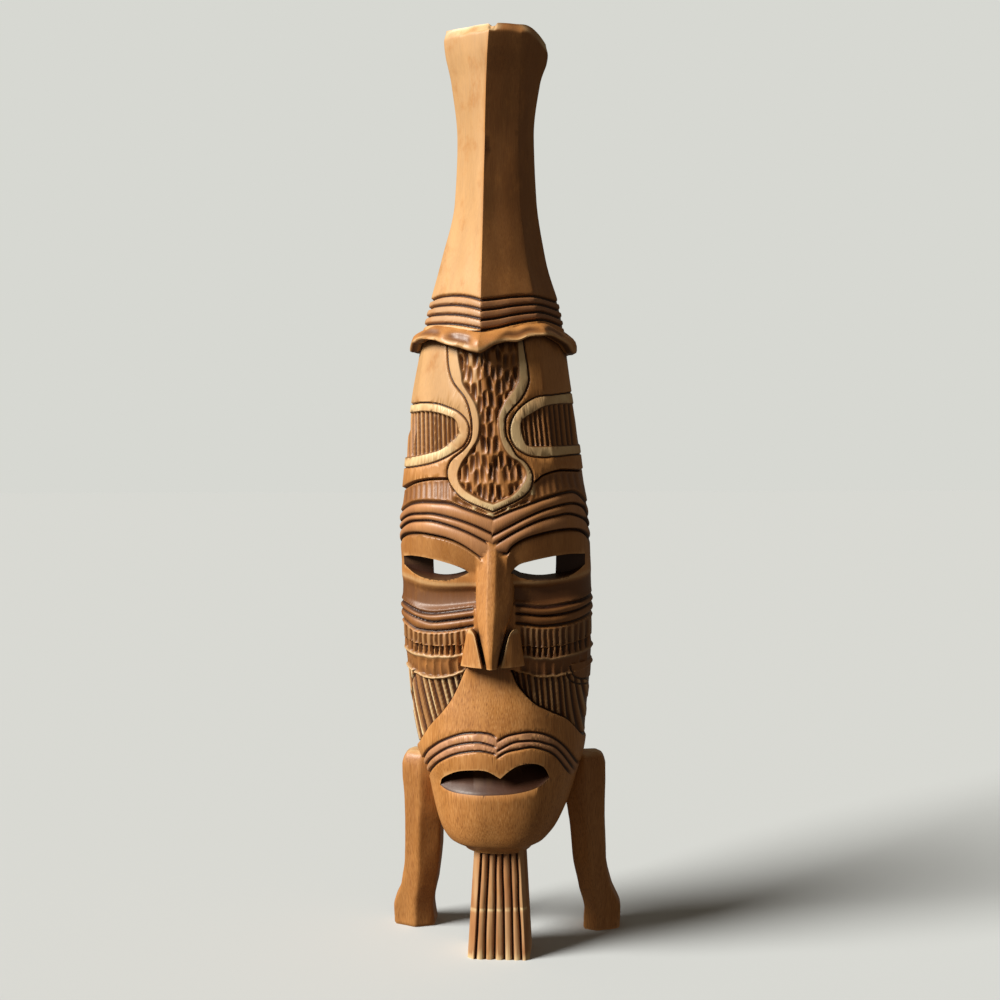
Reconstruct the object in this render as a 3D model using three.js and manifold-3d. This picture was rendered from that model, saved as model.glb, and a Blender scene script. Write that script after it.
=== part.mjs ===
// A standing mask carved from one block of pale hardwood.
// A tall flaring cap sits over a long face with open eyes and an open mouth.
// The back is hollowed out, and the block stands on two rear legs and a fluted beard.
// Millimetres, +X to the viewer's right, +Y to the back, +Z up.

import * as THREE from 'three';
import { mergeVertices } from 'three/addons/utils/BufferGeometryUtils.js';
import Module from 'manifold-3d';

const wasm = await Module();
wasm.setup();

// Driving dimensions of the block
const HEIGHT = 381;
const CHIN_Z = 45;
const BRIM_Z = 249;

// The block's outline at a few heights: how far it reaches to the left and the right of
// the middle, how far the front ridge stands out, and how deep the sides run back.
const OUTLINE = [
  { z: 45, left: 15.5, right: 13.5, front: 23, back: -3 },
  { z: 49, left: 22.4, right: 19.4, front: 27, back: 2 },
  { z: 54, left: 25.6, right: 23.5, front: 29, back: 8 },
  { z: 63, left: 28.4, right: 28, front: 31, back: 13 },
  { z: 74, left: 31, right: 31.5, front: 32, back: 15 },
  { z: 86, left: 36, right: 34.9, front: 33, back: 16 },
  { z: 100, left: 38.1, right: 36.4, front: 31, back: 16 },
  { z: 120, left: 39.8, right: 38.1, front: 28, back: 16 },
  { z: 150, left: 42.3, right: 38.6, front: 27.5, back: 17 },
  { z: 176, left: 42.3, right: 37.6, front: 30, back: 17 },
  { z: 206, left: 39.8, right: 34.2, front: 29, back: 17 },
  { z: 230, left: 36.8, right: 30.6, front: 28, back: 16.5 },
  { z: 249, left: 33.2, right: 28.1, front: 27, back: 16 },
  { z: 262, left: 31, right: 26.5, front: 25.5, back: 15 },
  { z: 288, left: 23.3, right: 19.7, front: 19.5, back: 13 },
  { z: 312, left: 17.7, right: 16, front: 15.2, back: 11.5 },
  { z: 338, left: 16.3, right: 15.1, front: 13.6, back: 11 },
  { z: 360, left: 18.6, right: 17.8, front: 14.6, back: 12 },
  { z: 372, left: 21, right: 20.6, front: 16.4, back: 13.5 },
  { z: 377, left: 21.4, right: 21, front: 16.8, back: 13.9 },
  { z: 381, left: 20.5, right: 20.2, front: 11.8, back: 13 },
];

// The front ridge leans a little, and the section grows rounder from the cap to the jaw
const RIDGE_X = [
  [44, 0], [100, 0], [187, -1], [249, -5.4], [288, -5], [345, -3.7], [377, -1.7], [381, 0],
];
const ROUNDNESS = [
  [44, 2.9], [66, 2.3], [100, 1.9], [165, 1.9], [249, 1.68], [288, 1.42], [330, 1.34], [381, 1.34],
];
const BACK_TAPER = 0.86;

// The right corner of the top has been knocked off
const CORNER_WEAR = 0.095;
const CORNER_WEAR_FROM_X = 12;
const CORNER_WEAR_FROM_Z = 338;

// The rolled brim: heights of its lower and its upper edge, by the share of the way from
// the ridge to the side
const BRIM_LOW_LEFT = [[0, 248.6], [0.3, 251.3], [0.7, 254.6], [0.93, 253.4], [1, 250]];
const BRIM_LOW_RIGHT = [[0, 248.6], [0.2, 251.9], [0.4, 253.3], [0.68, 255.8], [0.9, 253], [1, 248.6]];
const BRIM_HIGH_LEFT = [[0, 257.2], [0.3, 259], [0.75, 260.4], [1, 259.2]];
const BRIM_HIGH_RIGHT = [[0, 257.2], [0.4, 259.4], [0.75, 261.2], [1, 258.2]];
const BRIM_MIDDLE = 5;
const BRIM_PROFILE = [[-3, 0.2], [1.4, 0], [3.7, 0.14], [4.2, 0.42], [2.3, 0.76], [0.3, 1], [-3, 1.03]];

// The hollow in the back and its walls
const HOLLOW = { bottom: 57, top: 222, wallFront: 9, wallSide: 6.3 };

// Legs and beard
const LEG_TOP_Z = 80;
const BEARD = { top: 50, topHalf: 10, bottomHalf: 12.9, front: -22, back: -3, flutes: 6 };

// Carved lines
const LINE_WIDTH = 1.5;
const LINE_DEPTH = 1.1;

// Cubic through stations [key, value], with flat ends
function smooth(stations, key) {
  const last = stations.length - 1;
  if (key <= stations[0][0]) return stations[0][1];
  if (key >= stations[last][0]) return stations[last][1];
  let i = 0;
  while (stations[i + 1][0] < key) i += 1;
  const slope = (j) => {
    if (j === 0 || j === last) return 0;
    const before = (stations[j][1] - stations[j - 1][1]) / (stations[j][0] - stations[j - 1][0]);
    const after = (stations[j + 1][1] - stations[j][1]) / (stations[j + 1][0] - stations[j][0]);
    return before * after > 0 ? (2 * before * after) / (before + after) : 0;
  };
  const span = stations[i + 1][0] - stations[i][0];
  const t = (key - stations[i][0]) / span;
  const rise = stations[i + 1][1] - stations[i][1];
  const entry = slope(i) * span;
  const exit = slope(i + 1) * span;
  const bend = (t - 1) * (t - 1) * t * entry + t * t * (t - 1) * exit;
  return stations[i][1] + t * t * (3 - 2 * t) * rise + bend;
}

const column = (name) => OUTLINE.map((row) => [row.z, row[name]]);
const LEFT = column('left');
const RIGHT = column('right');
const FRONT = column('front');
const BACK = column('back');

const leftAt = (z) => -smooth(LEFT, z);
const rightAt = (z) => smooth(RIGHT, z);
const frontAt = (z) => smooth(FRONT, z);
const backAt = (z) => smooth(BACK, z);
const ridgeAt = (z) => smooth(RIDGE_X, z);

// Depth of the front surface behind a point of the front view
function frontY(x, z) {
  const ridge = ridgeAt(z);
  const side = x < ridge ? leftAt(z) : rightAt(z);
  const across = Math.min(Math.abs((x - ridge) / (side - ridge)), 0.999);
  const power = smooth(ROUNDNESS, z);
  return -frontAt(z) * (1 - across ** power) ** (1 / power);
}

function onFront(x, z, out = 0) {
  const e = 0.4;
  const base = new THREE.Vector3(x, frontY(x, z), z);
  if (out === 0) return base;
  const dx = (frontY(x + e, z) - frontY(x - e, z)) / (2 * e);
  const dz = (frontY(x, z + e) - frontY(x, z - e)) / (2 * e);
  const normal = new THREE.Vector3(dx, -1, dz).normalize();
  return base.addScaledVector(normal, out);
}

// Solids from rings of points
function solid(positions, triangles) {
  const geometry = new THREE.BufferGeometry();
  geometry.setAttribute('position', new THREE.Float32BufferAttribute(positions, 3));
  geometry.setIndex(triangles);
  return manifold(geometry);
}

function manifold(geometry) {
  geometry.deleteAttribute('normal');
  geometry.deleteAttribute('uv');
  const merged = mergeVertices(geometry, 1e-5);
  const mesh = new wasm.Mesh({
    numProp: 3,
    vertProperties: new Float32Array(merged.attributes.position.array),
    triVerts: new Uint32Array(merged.index.array),
  });
  return new wasm.Manifold(mesh);
}

// Joins rings of equal length into one closed solid with a cap at each end
function loft(rings) {
  const count = rings[0].length;
  const positions = rings.flat().flatMap((p) => [p.x, p.y, p.z]);
  const triangles = [];
  for (let r = 0; r < rings.length - 1; r += 1) {
    for (let i = 0; i < count; i += 1) {
      const j = (i + 1) % count;
      const a = r * count + i;
      const b = r * count + j;
      triangles.push(a, b, b + count, a, b + count, a + count);
    }
  }
  const capShape = (ring, turned) => {
    const centre = new THREE.Vector3();
    ring.forEach((p) => centre.addScaledVector(p, 1 / count));
    const index = positions.length / 3;
    positions.push(centre.x, centre.y, centre.z);
    const start = turned ? 0 : (rings.length - 1) * count;
    for (let i = 0; i < count; i += 1) {
      const a = start + i;
      const b = start + ((i + 1) % count);
      if (turned) triangles.push(index, b, a);
      else triangles.push(index, a, b);
    }
  };
  capShape(rings[0], true);
  capShape(rings[rings.length - 1], false);
  const made = solid(positions, triangles);
  if (made.volume() > 0) return made;
  const flipped = [];
  for (let i = 0; i < triangles.length; i += 3) {
    flipped.push(triangles[i], triangles[i + 2], triangles[i + 1]);
  }
  return solid(positions, flipped);
}

const union = (solids) => wasm.Manifold.union(solids);

// The block: one ring at each height, from the back left corner round the front
const FRONT_STEPS = 8;

function blockRing(z, grow = 0, levelAt = () => z) {
  const power = smooth(ROUNDNESS, z);
  const ridge = ridgeAt(z);
  const front = frontAt(z) + grow;
  const back = backAt(z) + grow * 0.5;
  const points = [];
  const near = Math.max(0, (z - CORNER_WEAR_FROM_Z) / (HEIGHT - CORNER_WEAR_FROM_Z));
  const place = (x, y, share) => {
    const past = Math.max(0, x - CORNER_WEAR_FROM_X);
    points.push(new THREE.Vector3(x, y, levelAt(x, share) - near * near * CORNER_WEAR * past * past));
  };
  const side = (edge) => {
    const reach = edge + Math.sign(edge) * grow;
    const list = [];
    for (let i = 0; i <= FRONT_STEPS; i += 1) {
      const angle = (Math.PI / 2) * (i / FRONT_STEPS);
      const across = Math.sin(angle) ** (2 / power);
      const out = Math.cos(angle) ** (2 / power);
      list.push([ridge + (reach - ridge) * across, -front * out, across]);
    }
    list.push([reach * 0.97, back * 0.55, 1]);
    list.push([reach * BACK_TAPER, back, 1]);
    return list;
  };
  const leftSide = side(leftAt(z)).reverse();
  const rightSide = side(rightAt(z)).slice(1);
  leftSide.concat(rightSide).forEach(([x, y, share]) => place(x, y, share));
  return points;
}

function range(from, to, step) {
  const count = Math.max(1, Math.round((to - from) / step));
  return Array.from({ length: count + 1 }, (_, i) => from + ((to - from) * i) / count);
}

function block() {
  const heights = [
    ...range(CHIN_Z, 56, 3),
    ...range(63, 99, 9),
    ...range(110, 242, 12),
    ...range(252, 296, 11),
    ...range(308, 366, 14.5),
    372,
    377,
    HEIGHT,
  ];
  return loft(heights.map((z) => blockRing(z)));
}

// The brim is a rolled lip whose lower edge rises in an arch on each side of the ridge
function brim() {
  const rings = BRIM_PROFILE.map(([proud, up]) => {
    const level = (x, share) => {
      const left = x < ridgeAt(BRIM_Z);
      const low = smooth(left ? BRIM_LOW_LEFT : BRIM_LOW_RIGHT, share);
      const high = smooth(left ? BRIM_HIGH_LEFT : BRIM_HIGH_RIGHT, share);
      return low + (high - low) * up;
    };
    return blockRing(BRIM_Z + BRIM_MIDDLE * 2 * up, proud, level);
  });
  return loft(rings);
}

// Cuts that follow the front surface
function sweepOnFront(points, width, depth, out = 1) {
  const last = points.length - 1;
  const rings = points.map(([x, z], i) => {
    const before = points[Math.max(i - 1, 0)];
    const after = points[Math.min(i + 1, last)];
    const dx = after[0] - before[0];
    const dz = after[1] - before[1];
    const length = Math.hypot(dx, dz);
    const sx = (-dz / length) * (width / 2);
    const sz = (dx / length) * (width / 2);
    const reach = 1 + out / depth;
    return [
      onFront(x - sx * reach, z - sz * reach, out),
      onFront(x, z, -depth),
      onFront(x + sx * reach, z + sz * reach, out),
    ];
  });
  return loft(rings);
}

// A line that leaves the middle, reaches its peak and falls or rises to the side
function archLine({ from, to, start, peak, end, at = 0.75, fall = 2, steps = 6 }) {
  return Array.from({ length: steps + 1 }, (_, i) => {
    const s = i / steps;
    const x = from + (to - from) * s;
    const z = s < at
      ? start + (peak - start) * Math.sin((Math.PI / 2) * (s / at))
      : peak - (peak - end) * ((s - at) / (1 - at)) ** fall;
    return [x, z];
  });
}

const lines = (list, width = LINE_WIDTH, depth = LINE_DEPTH) =>
  list.map((line) => sweepOnFront(archLine(line), width, depth));

const CAP_LINES = 4;
const CAP_PITCH = 3.9;

function capLines() {
  const made = [];
  for (let i = 0; i < CAP_LINES; i += 1) {
    const drop = i * CAP_PITCH;
    const edge = 28.5 + i * 1.6;
    const start = 269.8 - drop;
    const shared = { from: -5.6, start, steps: 4 };
    made.push({ ...shared, to: -edge, peak: 272.6 - drop, end: 271.2 - drop, at: 0.5 });
    made.push({ ...shared, to: edge - 4, peak: 272.2 - drop, end: 270.2 - drop, at: 0.6 });
  }
  return lines(made);
}

const BROW_LEFT = [[183.4, 189, 183], [177, 184.3, 179.4], [172, 181.3, 175.6]];
const BROW_RIGHT = [[183.4, 192.4, 187], [177, 187.9, 181.6], [172, 184, 176.8]];

// Lines of one family, each given as [start, peak, end]
const family = (rows, shared) => rows.map(([start, peak, end]) => ({ ...shared, start, peak, end }));

function browLines() {
  const left = family(BROW_LEFT, { from: -0.9, to: -41.9, at: 0.7 });
  const right = family(BROW_RIGHT, { from: -0.9, to: 37.6, at: 0.8 });
  return lines([...left, ...right], 1.7, 1.2);
}

const CHEEK_LEFT = [[146.3, 143.1, 144.6], [143.1, 139.9, 142.3], [139, 136, 138.6]];
const CHEEK_RIGHT = [[147.3, 146.2, 147.2], [144.2, 142.8, 145.6], [140, 138.8, 141.8]];

function cheekLines() {
  const left = family(CHEEK_LEFT, { from: -9, to: -41.5, at: 0.6, steps: 5 });
  const right = family(CHEEK_RIGHT, { from: 9, to: 38.2, at: 0.45, steps: 5 });
  return lines([...left, ...right], 2, 1.3);
}

const LIP_LEFT = [[95.2, 96.8, 78.6], [91.3, 92.8, 75], [88.2, 89.4, 72.8]];
const LIP_RIGHT = [[94.6, 96.9, 79], [90.9, 93.4, 78], [87.6, 90.8, 76.6]];
const LIP_REACH = 33;
const LIP_REACH_STEP = 1.4;

function lipLines() {
  const drawn = [];
  LIP_LEFT.forEach((row, i) => {
    const reach = LIP_REACH - i * LIP_REACH_STEP;
    drawn.push(...family([row], { from: 0.3, to: -reach, at: 0.25, fall: 2.3 }));
    drawn.push(...family([LIP_RIGHT[i]], { from: 0.3, to: reach, at: 0.4, fall: 2.3 }));
  });
  return lines(drawn, 1.6, 1.1);
}

// The hourglass panel on the forehead: half widths of its raised frame about its axis
const PANEL_X = -2.3;
const FRAME_WIDTH = 3.8;
const PANEL = [
  [186.5, 0.6], [192, 12.6], [200, 17.2], [209, 11.4], [219, 6.8], [229, 10], [240, 15.4], [252, 16],
];

function panelLines() {
  const made = [];
  [-1, 1].forEach((side) => {
    [0, FRAME_WIDTH].forEach((inset) => {
      const low = 186.5 + inset * 0.8;
      const points = range(low, 252, 6.5).map((z) => {
        const half = Math.max(smooth(PANEL, z) - inset, 0.4);
        return [PANEL_X + side * half, z];
      });
      made.push(sweepOnFront(points, 1.2, 0.9));
    });
  });
  return made;
}

// Short gouge strokes, each a small boat-shaped cut
function gouge(x, z, length, width, depth) {
  const half = length / 2;
  const rings = [z - half, z, z + half].map((level, i) => {
    const deepest = i === 1;
    const reach = (deepest ? width : width * 0.3) / 2;
    const below = deepest ? depth : -0.25;
    return [onFront(x - reach, level, 0.5), onFront(x, level, -below), onFront(x + reach, level, 0.5)];
  });
  return loft(rings);
}

function panelGouges() {
  const made = [];
  range(194, 247, 6.6).forEach((z, row) => {
    const half = smooth(PANEL, z) - FRAME_WIDTH - 1.2;
    const count = Math.max(2, Math.round((half * 2) / 3.6));
    for (let i = 0; i < count; i += 1) {
      const x = PANEL_X - half + ((i + 0.5) * 2 * half) / count;
      made.push(gouge(x, z + (row % 2) * 0.6, 5, 2, 0.9));
    }
  });
  return made;
}

// Half ovals that open to the sides of the forehead, filled with upright flutes
const OVALS = [
  { side: -1, bend: -28, tip: -14.6, edge: -37.5, z: 216.4, half: 9.4, flutes: 8 },
  { side: 1, bend: 20, tip: 10.4, edge: 31.4, z: 219.9, half: 8.7, flutes: 8 },
];
const OVAL_BORDER = 3.6;

function ovalLine({ side, bend, tip, edge, z, half }, border) {
  const run = Math.abs(bend - tip) + border;
  const tall = half + border;
  const curve = range(-90, 90, 36).map((degrees) => {
    const angle = THREE.MathUtils.degToRad(degrees);
    return [bend - side * run * Math.cos(angle), z + tall * Math.sin(angle)];
  });
  return sweepOnFront([[edge, z - tall - 0.8], ...curve, [edge, z + tall]], 1.2, 0.9);
}

function ovals() {
  const made = [];
  OVALS.forEach((oval) => {
    made.push(ovalLine(oval, 0), ovalLine(oval, OVAL_BORDER));
    for (let i = 0; i < oval.flutes; i += 1) {
      const x = oval.tip + ((oval.edge - oval.tip) * (i + 0.6)) / (oval.flutes + 0.3);
      const inside = Math.min(1, Math.abs((x - oval.tip) / (oval.bend - oval.tip)));
      const tall = oval.half * Math.sqrt(1 - (1 - inside) ** 2) - 0.6;
      made.push(sweepOnFront([[x, oval.z - tall], [x, oval.z + tall]], 1.7, 0.9));
    }
  });
  return made;
}

// Eyes: the hollow under each brow, then the slot through the wall
const EYES = [
  { inner: -9.5, outer: -42, brow: [169.4, 176.1, 171.4], at: 0.7, low: 145.5 },
  { inner: 6.4, outer: 37.8, brow: [169.4, 177.5, 172.8], at: 0.75, low: 148 },
];
const EYE_RECESS = 4.2;

// Cuts grow shallow where they run out at the side of the face
const edgeFade = (share) => 1 - 0.8 * Math.max(0, (share - 0.6) / 0.4);

function eyeSockets() {
  return EYES.map(({ inner, outer, brow, at, low }) => {
    const [start, peak, end] = brow;
    const top = archLine({ from: inner, to: outer, start, peak, end, at, steps: 8 });
    const rings = top.map(([x, z]) => {
      const depth = EYE_RECESS * edgeFade((x - inner) / (outer - inner));
      return [
        onFront(x, z + 1.2, 1.5),
        onFront(x, z, -depth * 0.85),
        onFront(x, z - 6, -depth),
        onFront(x, low + 6, -depth * 0.42),
        onFront(x, low, 0.1),
        onFront(x, low - 1, 1.5),
      ];
    });
    return loft(rings);
  });
}

const SLOT_START = 4;
const SLOT_BACK_Y = -8;
const EYE_LEDGE = 2.2;
const MOUTH_LEDGE = 8;

// A slot through the wall: its lower edge rises towards the hollow, as a sloping ledge
function slot(points, ledge) {
  const heights = points.map(([, z]) => z);
  const top = Math.max(...heights);
  const tall = top - Math.min(...heights);
  const ring = (depthAt, rise) => points.map(([x, z]) => {
    const lowness = (top - z) / tall;
    return new THREE.Vector3(x, depthAt(x, z), z + rise * lowness);
  });
  const outside = ring((x, z) => frontY(x, z) - SLOT_START, (-SLOT_START / HOLLOW.wallFront) * ledge);
  const wall = ring((x, z) => Math.min(frontY(x, z) + HOLLOW.wallFront, SLOT_BACK_Y - 1), ledge);
  const inside = ring(() => SLOT_BACK_Y, ledge);
  return loft([outside, wall, inside]);
}

const EYE_SLOTS = [
  [
    [-41.4, 163.8], [-37.2, 166], [-30.6, 166.3], [-20.6, 164.4], [-11.4, 160.4], [-17.3, 157.6],
    [-24, 156.6], [-31, 157.4], [-38.4, 160.8],
  ],
  [
    [6.4, 160.6], [13.9, 165], [24.5, 167], [33.2, 167.1], [37.1, 165], [35.1, 160.8],
    [29.6, 157.9], [22.7, 156.6], [14, 157],
  ],
];
const MOUTH_SLOT = [
  [-23.9, 72.6], [-22.6, 76], [-16.3, 80.6], [-7, 82], [-1.9, 81.4], [2.1, 79.4], [5.3, 82], [10.5, 84.4],
  [15.9, 84.2], [19.8, 81.5], [21.3, 77.2], [13.1, 73.2], [1.2, 72], [-10.3, 71.4], [-19, 71.2],
];

function openings() {
  return [...EYE_SLOTS.map((points) => slot(points, EYE_LEDGE)), slot(MOUTH_SLOT, MOUTH_LEDGE)];
}

// The hollow, open at the back, follows the face at a wall's distance
function hollow() {
  const heights = [HOLLOW.bottom, 62, 72, 95, 125, 160, 190, 208, 217, HOLLOW.top];
  const closing = (z) => Math.min(1, Math.sqrt(Math.min(z - HOLLOW.bottom + 1, HOLLOW.top - z + 1) / 16));
  const rings = heights.map((z) => {
    const scale = closing(z);
    const left = (leftAt(z) * BACK_TAPER + HOLLOW.wallSide) * scale;
    const right = (rightAt(z) * BACK_TAPER - HOLLOW.wallSide) * scale;
    const middle = (left + right) / 2;
    const half = (right - left) / 2;
    const deep = (frontAt(z) - HOLLOW.wallFront) * scale;
    const points = [new THREE.Vector3(middle - half, 25, z)];
    for (let i = 0; i <= 8; i += 1) {
      const angle = Math.PI * (i / 8);
      const y = 6 - (deep + 6) * Math.sin(angle) ** 0.8;
      points.push(new THREE.Vector3(middle - half * Math.cos(angle), y, z));
    }
    points.push(new THREE.Vector3(middle + half, 25, z));
    return points;
  });
  return loft(rings);
}

// The nose: a long wedge with its ridge forward, and a flat wing each side of the tip
const NOSE = [
  { z: 123.6, left: -3, right: 0.6, ridge: -1.2, out: 37.6 },
  { z: 128, left: -4.2, right: 1.8, ridge: -1.3, out: 38 },
  { z: 138, left: -6.8, right: 4.8, ridge: -1.5, out: 36.2 },
  { z: 150, left: -7.6, right: 6.9, ridge: -1.3, out: 34 },
  { z: 163, left: -7.6, right: 6.6, ridge: -1, out: 31.6 },
  { z: 174, left: -7.4, right: 6, ridge: -1, out: 29.4 },
];
const NOSE_ROOT_Y = -18;

function nose() {
  const rings = NOSE.map(({ z, left, right, ridge, out }) => {
    const slope = (right - left) / 14;
    return [
      new THREE.Vector3(left - 1.2, NOSE_ROOT_Y, z),
      new THREE.Vector3(left, -out + 4.4 * slope, z),
      new THREE.Vector3(ridge - 1.6 * slope, -out, z),
      new THREE.Vector3(ridge + 1.6 * slope, -out, z),
      new THREE.Vector3(right, -out + 5 * slope, z),
      new THREE.Vector3(right + 1.2, NOSE_ROOT_Y, z),
    ];
  });
  return loft(rings);
}

const WINGS = [
  { inner: -4, outer: -14.2, topInner: -7, topOuter: -11.4, out: 35.6 },
  { inner: 1.4, outer: 11.6, topInner: 5, topOuter: 9.4, out: 35 },
];
const WING_LOW_Z = 123.8;
const WING_TOP_Z = 138;

function noseWings() {
  return WINGS.map(({ inner, outer, topInner, topOuter, out }) => loft([
    [
      new THREE.Vector3(inner, NOSE_ROOT_Y, WING_LOW_Z),
      new THREE.Vector3(inner, -out, WING_LOW_Z),
      new THREE.Vector3(outer, -out + 6, WING_LOW_Z + 0.6),
      new THREE.Vector3(outer, NOSE_ROOT_Y, WING_LOW_Z + 0.6),
    ],
    [
      new THREE.Vector3(topInner, NOSE_ROOT_Y, WING_TOP_Z),
      new THREE.Vector3(topInner, -out + 2.5, WING_TOP_Z),
      new THREE.Vector3(topOuter, -out + 6.6, WING_TOP_Z + 1),
      new THREE.Vector3(topOuter, NOSE_ROOT_Y, WING_TOP_Z + 1),
    ],
  ]));
}

// The cheeks below the eyes are set back behind the barrel of the muzzle
const MUZZLE_EDGE = [
  { from: -13.2, to: -34, start: 121, end: 90 },
  { from: 8.4, to: 35, start: 121, end: 92 },
];
const MUZZLE_STEP = 2.4;

function cheekSteps() {
  return MUZZLE_EDGE.map(({ from, to, start, end }) => {
    const rings = Array.from({ length: 8 }, (_, i) => {
      const s = i / 7;
      const x = from + (to - from) * s;
      const z = start + (end - start) * s ** 0.9;
      const reach = 8 + 5 * s;
      return [
        onFront(x, z - 1, 1.5),
        onFront(x, z, -MUZZLE_STEP * edgeFade(s)),
        onFront(x, z + reach, 0.05),
        onFront(x, z + reach + 2, 1.5),
      ];
    });
    return loft(rings);
  });
}

// Slanting strips between the cheeks' lower row and the muzzle
const STRIP_TOP_Z = 117;
const STRIP_LEAN = 0.17;
const STRIPS = [
  { count: 6, from: -15, to: -36, innerLow: 116.5, outerLow: 93.5 },
  { count: 7, from: 12.5, to: 36.5, innerLow: 111.5, outerLow: 94.5 },
];

function cheekStrips() {
  const made = [];
  STRIPS.forEach(({ count, from, to, innerLow, outerLow }) => {
    for (let i = 0; i < count; i += 1) {
      const s = (i + 0.5) / count;
      const x = from + (to - from) * s;
      const low = innerLow + (outerLow - innerLow) * s ** 0.8;
      const shift = ((STRIP_TOP_Z - low) / 2) * STRIP_LEAN;
      made.push(sweepOnFront([[x + shift, low], [x - shift, STRIP_TOP_Z]], 1.8, 1));
    }
  });
  return made;
}

// Two rows of gouged chips across each cheek
const CHIP_ROWS = [{ z: 131, tall: 7, count: 8 }, { z: 121.5, tall: 6, count: 6 }];
const CHIP_FIELDS = [[-14.8, -38.3], [12.5, 37]];

function cheekChips() {
  const made = [];
  CHIP_ROWS.forEach(({ z, tall, count }) => {
    CHIP_FIELDS.forEach(([inner, outer]) => {
      for (let i = 0; i < count; i += 1) {
        const x = inner + ((outer - inner) * (i + 0.5)) / count;
        made.push(gouge(x, z, tall, 2, 1));
      }
    });
  });
  return made;
}

// Rear legs: facetted posts that spring from the jaw and splay at the foot
const LEG = [
  { z: 0, outer: 49.3, inner: 31.6, ridge: 39.6, front: 12.4, back: 28 },
  { z: 8.5, outer: 49.8, inner: 32, ridge: 39.2, front: 11.5, back: 27.4 },
  { z: 20, outer: 45.8, inner: 30, ridge: 38, front: 9, back: 25 },
  { z: 32, outer: 43.7, inner: 28.2, ridge: 37, front: 6.5, back: 22.6 },
  { z: 54, outer: 43.2, inner: 26.6, ridge: 36, front: 3.6, back: 19.4 },
  { z: 74, outer: 43.6, inner: 24, ridge: 35.4, front: 2, back: 17 },
  { z: LEG_TOP_Z, outer: 42.4, inner: 24, ridge: 35, front: 2.6, back: 16.6 },
];

// The right foot is cut narrower on its inner side
const RIGHT_FOOT_NARROWER = 2.2;
const RIGHT_FOOT_NARROW_UP_TO_Z = 66;

function leg(side) {
  const rings = LEG.map(({ z, outer, inner, ridge, front, back }) => {
    const low = Math.max(0, 1 - z / RIGHT_FOOT_NARROW_UP_TO_Z);
    const inward = inner + (side > 0 ? RIGHT_FOOT_NARROWER * Math.sqrt(low) : 0);
    const at = (x, y) => new THREE.Vector3(side * x, y, z);
    return [
      at(outer, front + 4.4),
      at(ridge, front),
      at(inward, front + 3),
      at(inward, back - 1),
      at(outer - 2, back),
      at(outer, back - 3),
    ];
  });
  return loft(rings);
}

const BEARD_TOP_BACK = 0.6;

function beard() {
  const at = (half, y, z) => new THREE.Vector3(half, y, z);
  const ring = (half, z, front) => [
    at(-half, BEARD.back, z),
    at(-half, front + 2.4, z),
    at(-half + 2.6, front, z),
    at(half - 1.6, front, z),
    at(half, front + 1.6, z),
    at(half, BEARD.back, z),
  ];
  const rings = [
    ring(BEARD.bottomHalf, 0, BEARD.front),
    ring(BEARD.topHalf, BEARD.top, BEARD.front + BEARD_TOP_BACK),
  ];
  return loft(rings);
}

const FLUTE = { half: 0.9, out: 0.4, deep: 1.3 };

function beardFlutes() {
  const made = [];
  const ring = (x, z, front) => [
    new THREE.Vector3(x - FLUTE.half, front - FLUTE.out, z),
    new THREE.Vector3(x, front + FLUTE.deep, z),
    new THREE.Vector3(x + FLUTE.half, front - FLUTE.out, z),
  ];
  for (let i = 0; i < BEARD.flutes; i += 1) {
    const s = ((i + 0.75) / (BEARD.flutes + 0.5)) * 2 - 1;
    const low = s * (BEARD.bottomHalf - 1);
    const high = s * (BEARD.topHalf - 1);
    const front = BEARD.front + BEARD_TOP_BACK;
    made.push(loft([ring(low, -1, BEARD.front), ring(high, BEARD.top + 1, front)]));
  }
  return made;
}

function carvedMask() {
  const head = union([block(), brim()])
    .subtract(union([...cheekSteps(), ...eyeSockets()]))
    .subtract(union([...capLines(), ...browLines(), ...cheekLines(), ...lipLines()]))
    .subtract(union([...panelLines(), ...ovals()]))
    .subtract(union([...panelGouges(), ...cheekStrips(), ...cheekChips()]));
  const stand = beard().subtract(union(beardFlutes()));
  return union([head, nose(), ...noseWings(), leg(-1), leg(1), stand])
    .subtract(union([hollow(), ...openings()]));
}

// Slivers thinner than the knife's edge are smoothed off, and splinters left loose
// between crossing cuts fall away
const KNIFE_EDGE = 0.06;

function cleaned(made) {
  const pieces = made.simplify(KNIFE_EDGE).decompose();
  return pieces.sort((a, b) => b.volume() - a.volume())[0];
}

// The origin is the middle of the footprint box, at the feet
function centred(made) {
  const { min, max } = made.boundingBox();
  return made.translate([-(min[0] + max[0]) / 2, -(min[1] + max[1]) / 2, -min[2]]);
}

function toGeometry(made) {
  const mesh = made.getMesh();
  const geometry = new THREE.BufferGeometry();
  geometry.setAttribute('position', new THREE.BufferAttribute(new Float32Array(mesh.vertProperties), 3));
  geometry.setIndex(new THREE.BufferAttribute(new Uint32Array(mesh.triVerts), 1));
  geometry.computeVertexNormals();
  return geometry;
}

const lacqueredWood = new THREE.MeshStandardMaterial({ color: 0xa8713f, roughness: 0.42, metalness: 0 });

const mask = new THREE.Mesh(toGeometry(centred(cleaned(carvedMask()))), lacqueredWood);
mask.name = 'carved_mask';

const part = new THREE.Group();
part.add(mask);

export default part;
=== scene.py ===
# %% [markdown]
# A tall standing mask, carved by hand from one block of pale hardwood.
# A flaring cap sits over a long face with slit eyes and an open mouth. The back is hollowed
# out, and the block stands on two rear legs and a fluted beard.
#
# The carving is one piece of wood, so it is one mesh here. It is built the way the carver
# works: first the bare block, then the parts that stand out of it, then the carved lines,
# and last the cuts that go right through. All sizes are real millimetres until the mesh is
# made, because a carver thinks in millimetres and Blender in metres.

# %% Tools and the fixed frame
import math

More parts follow.
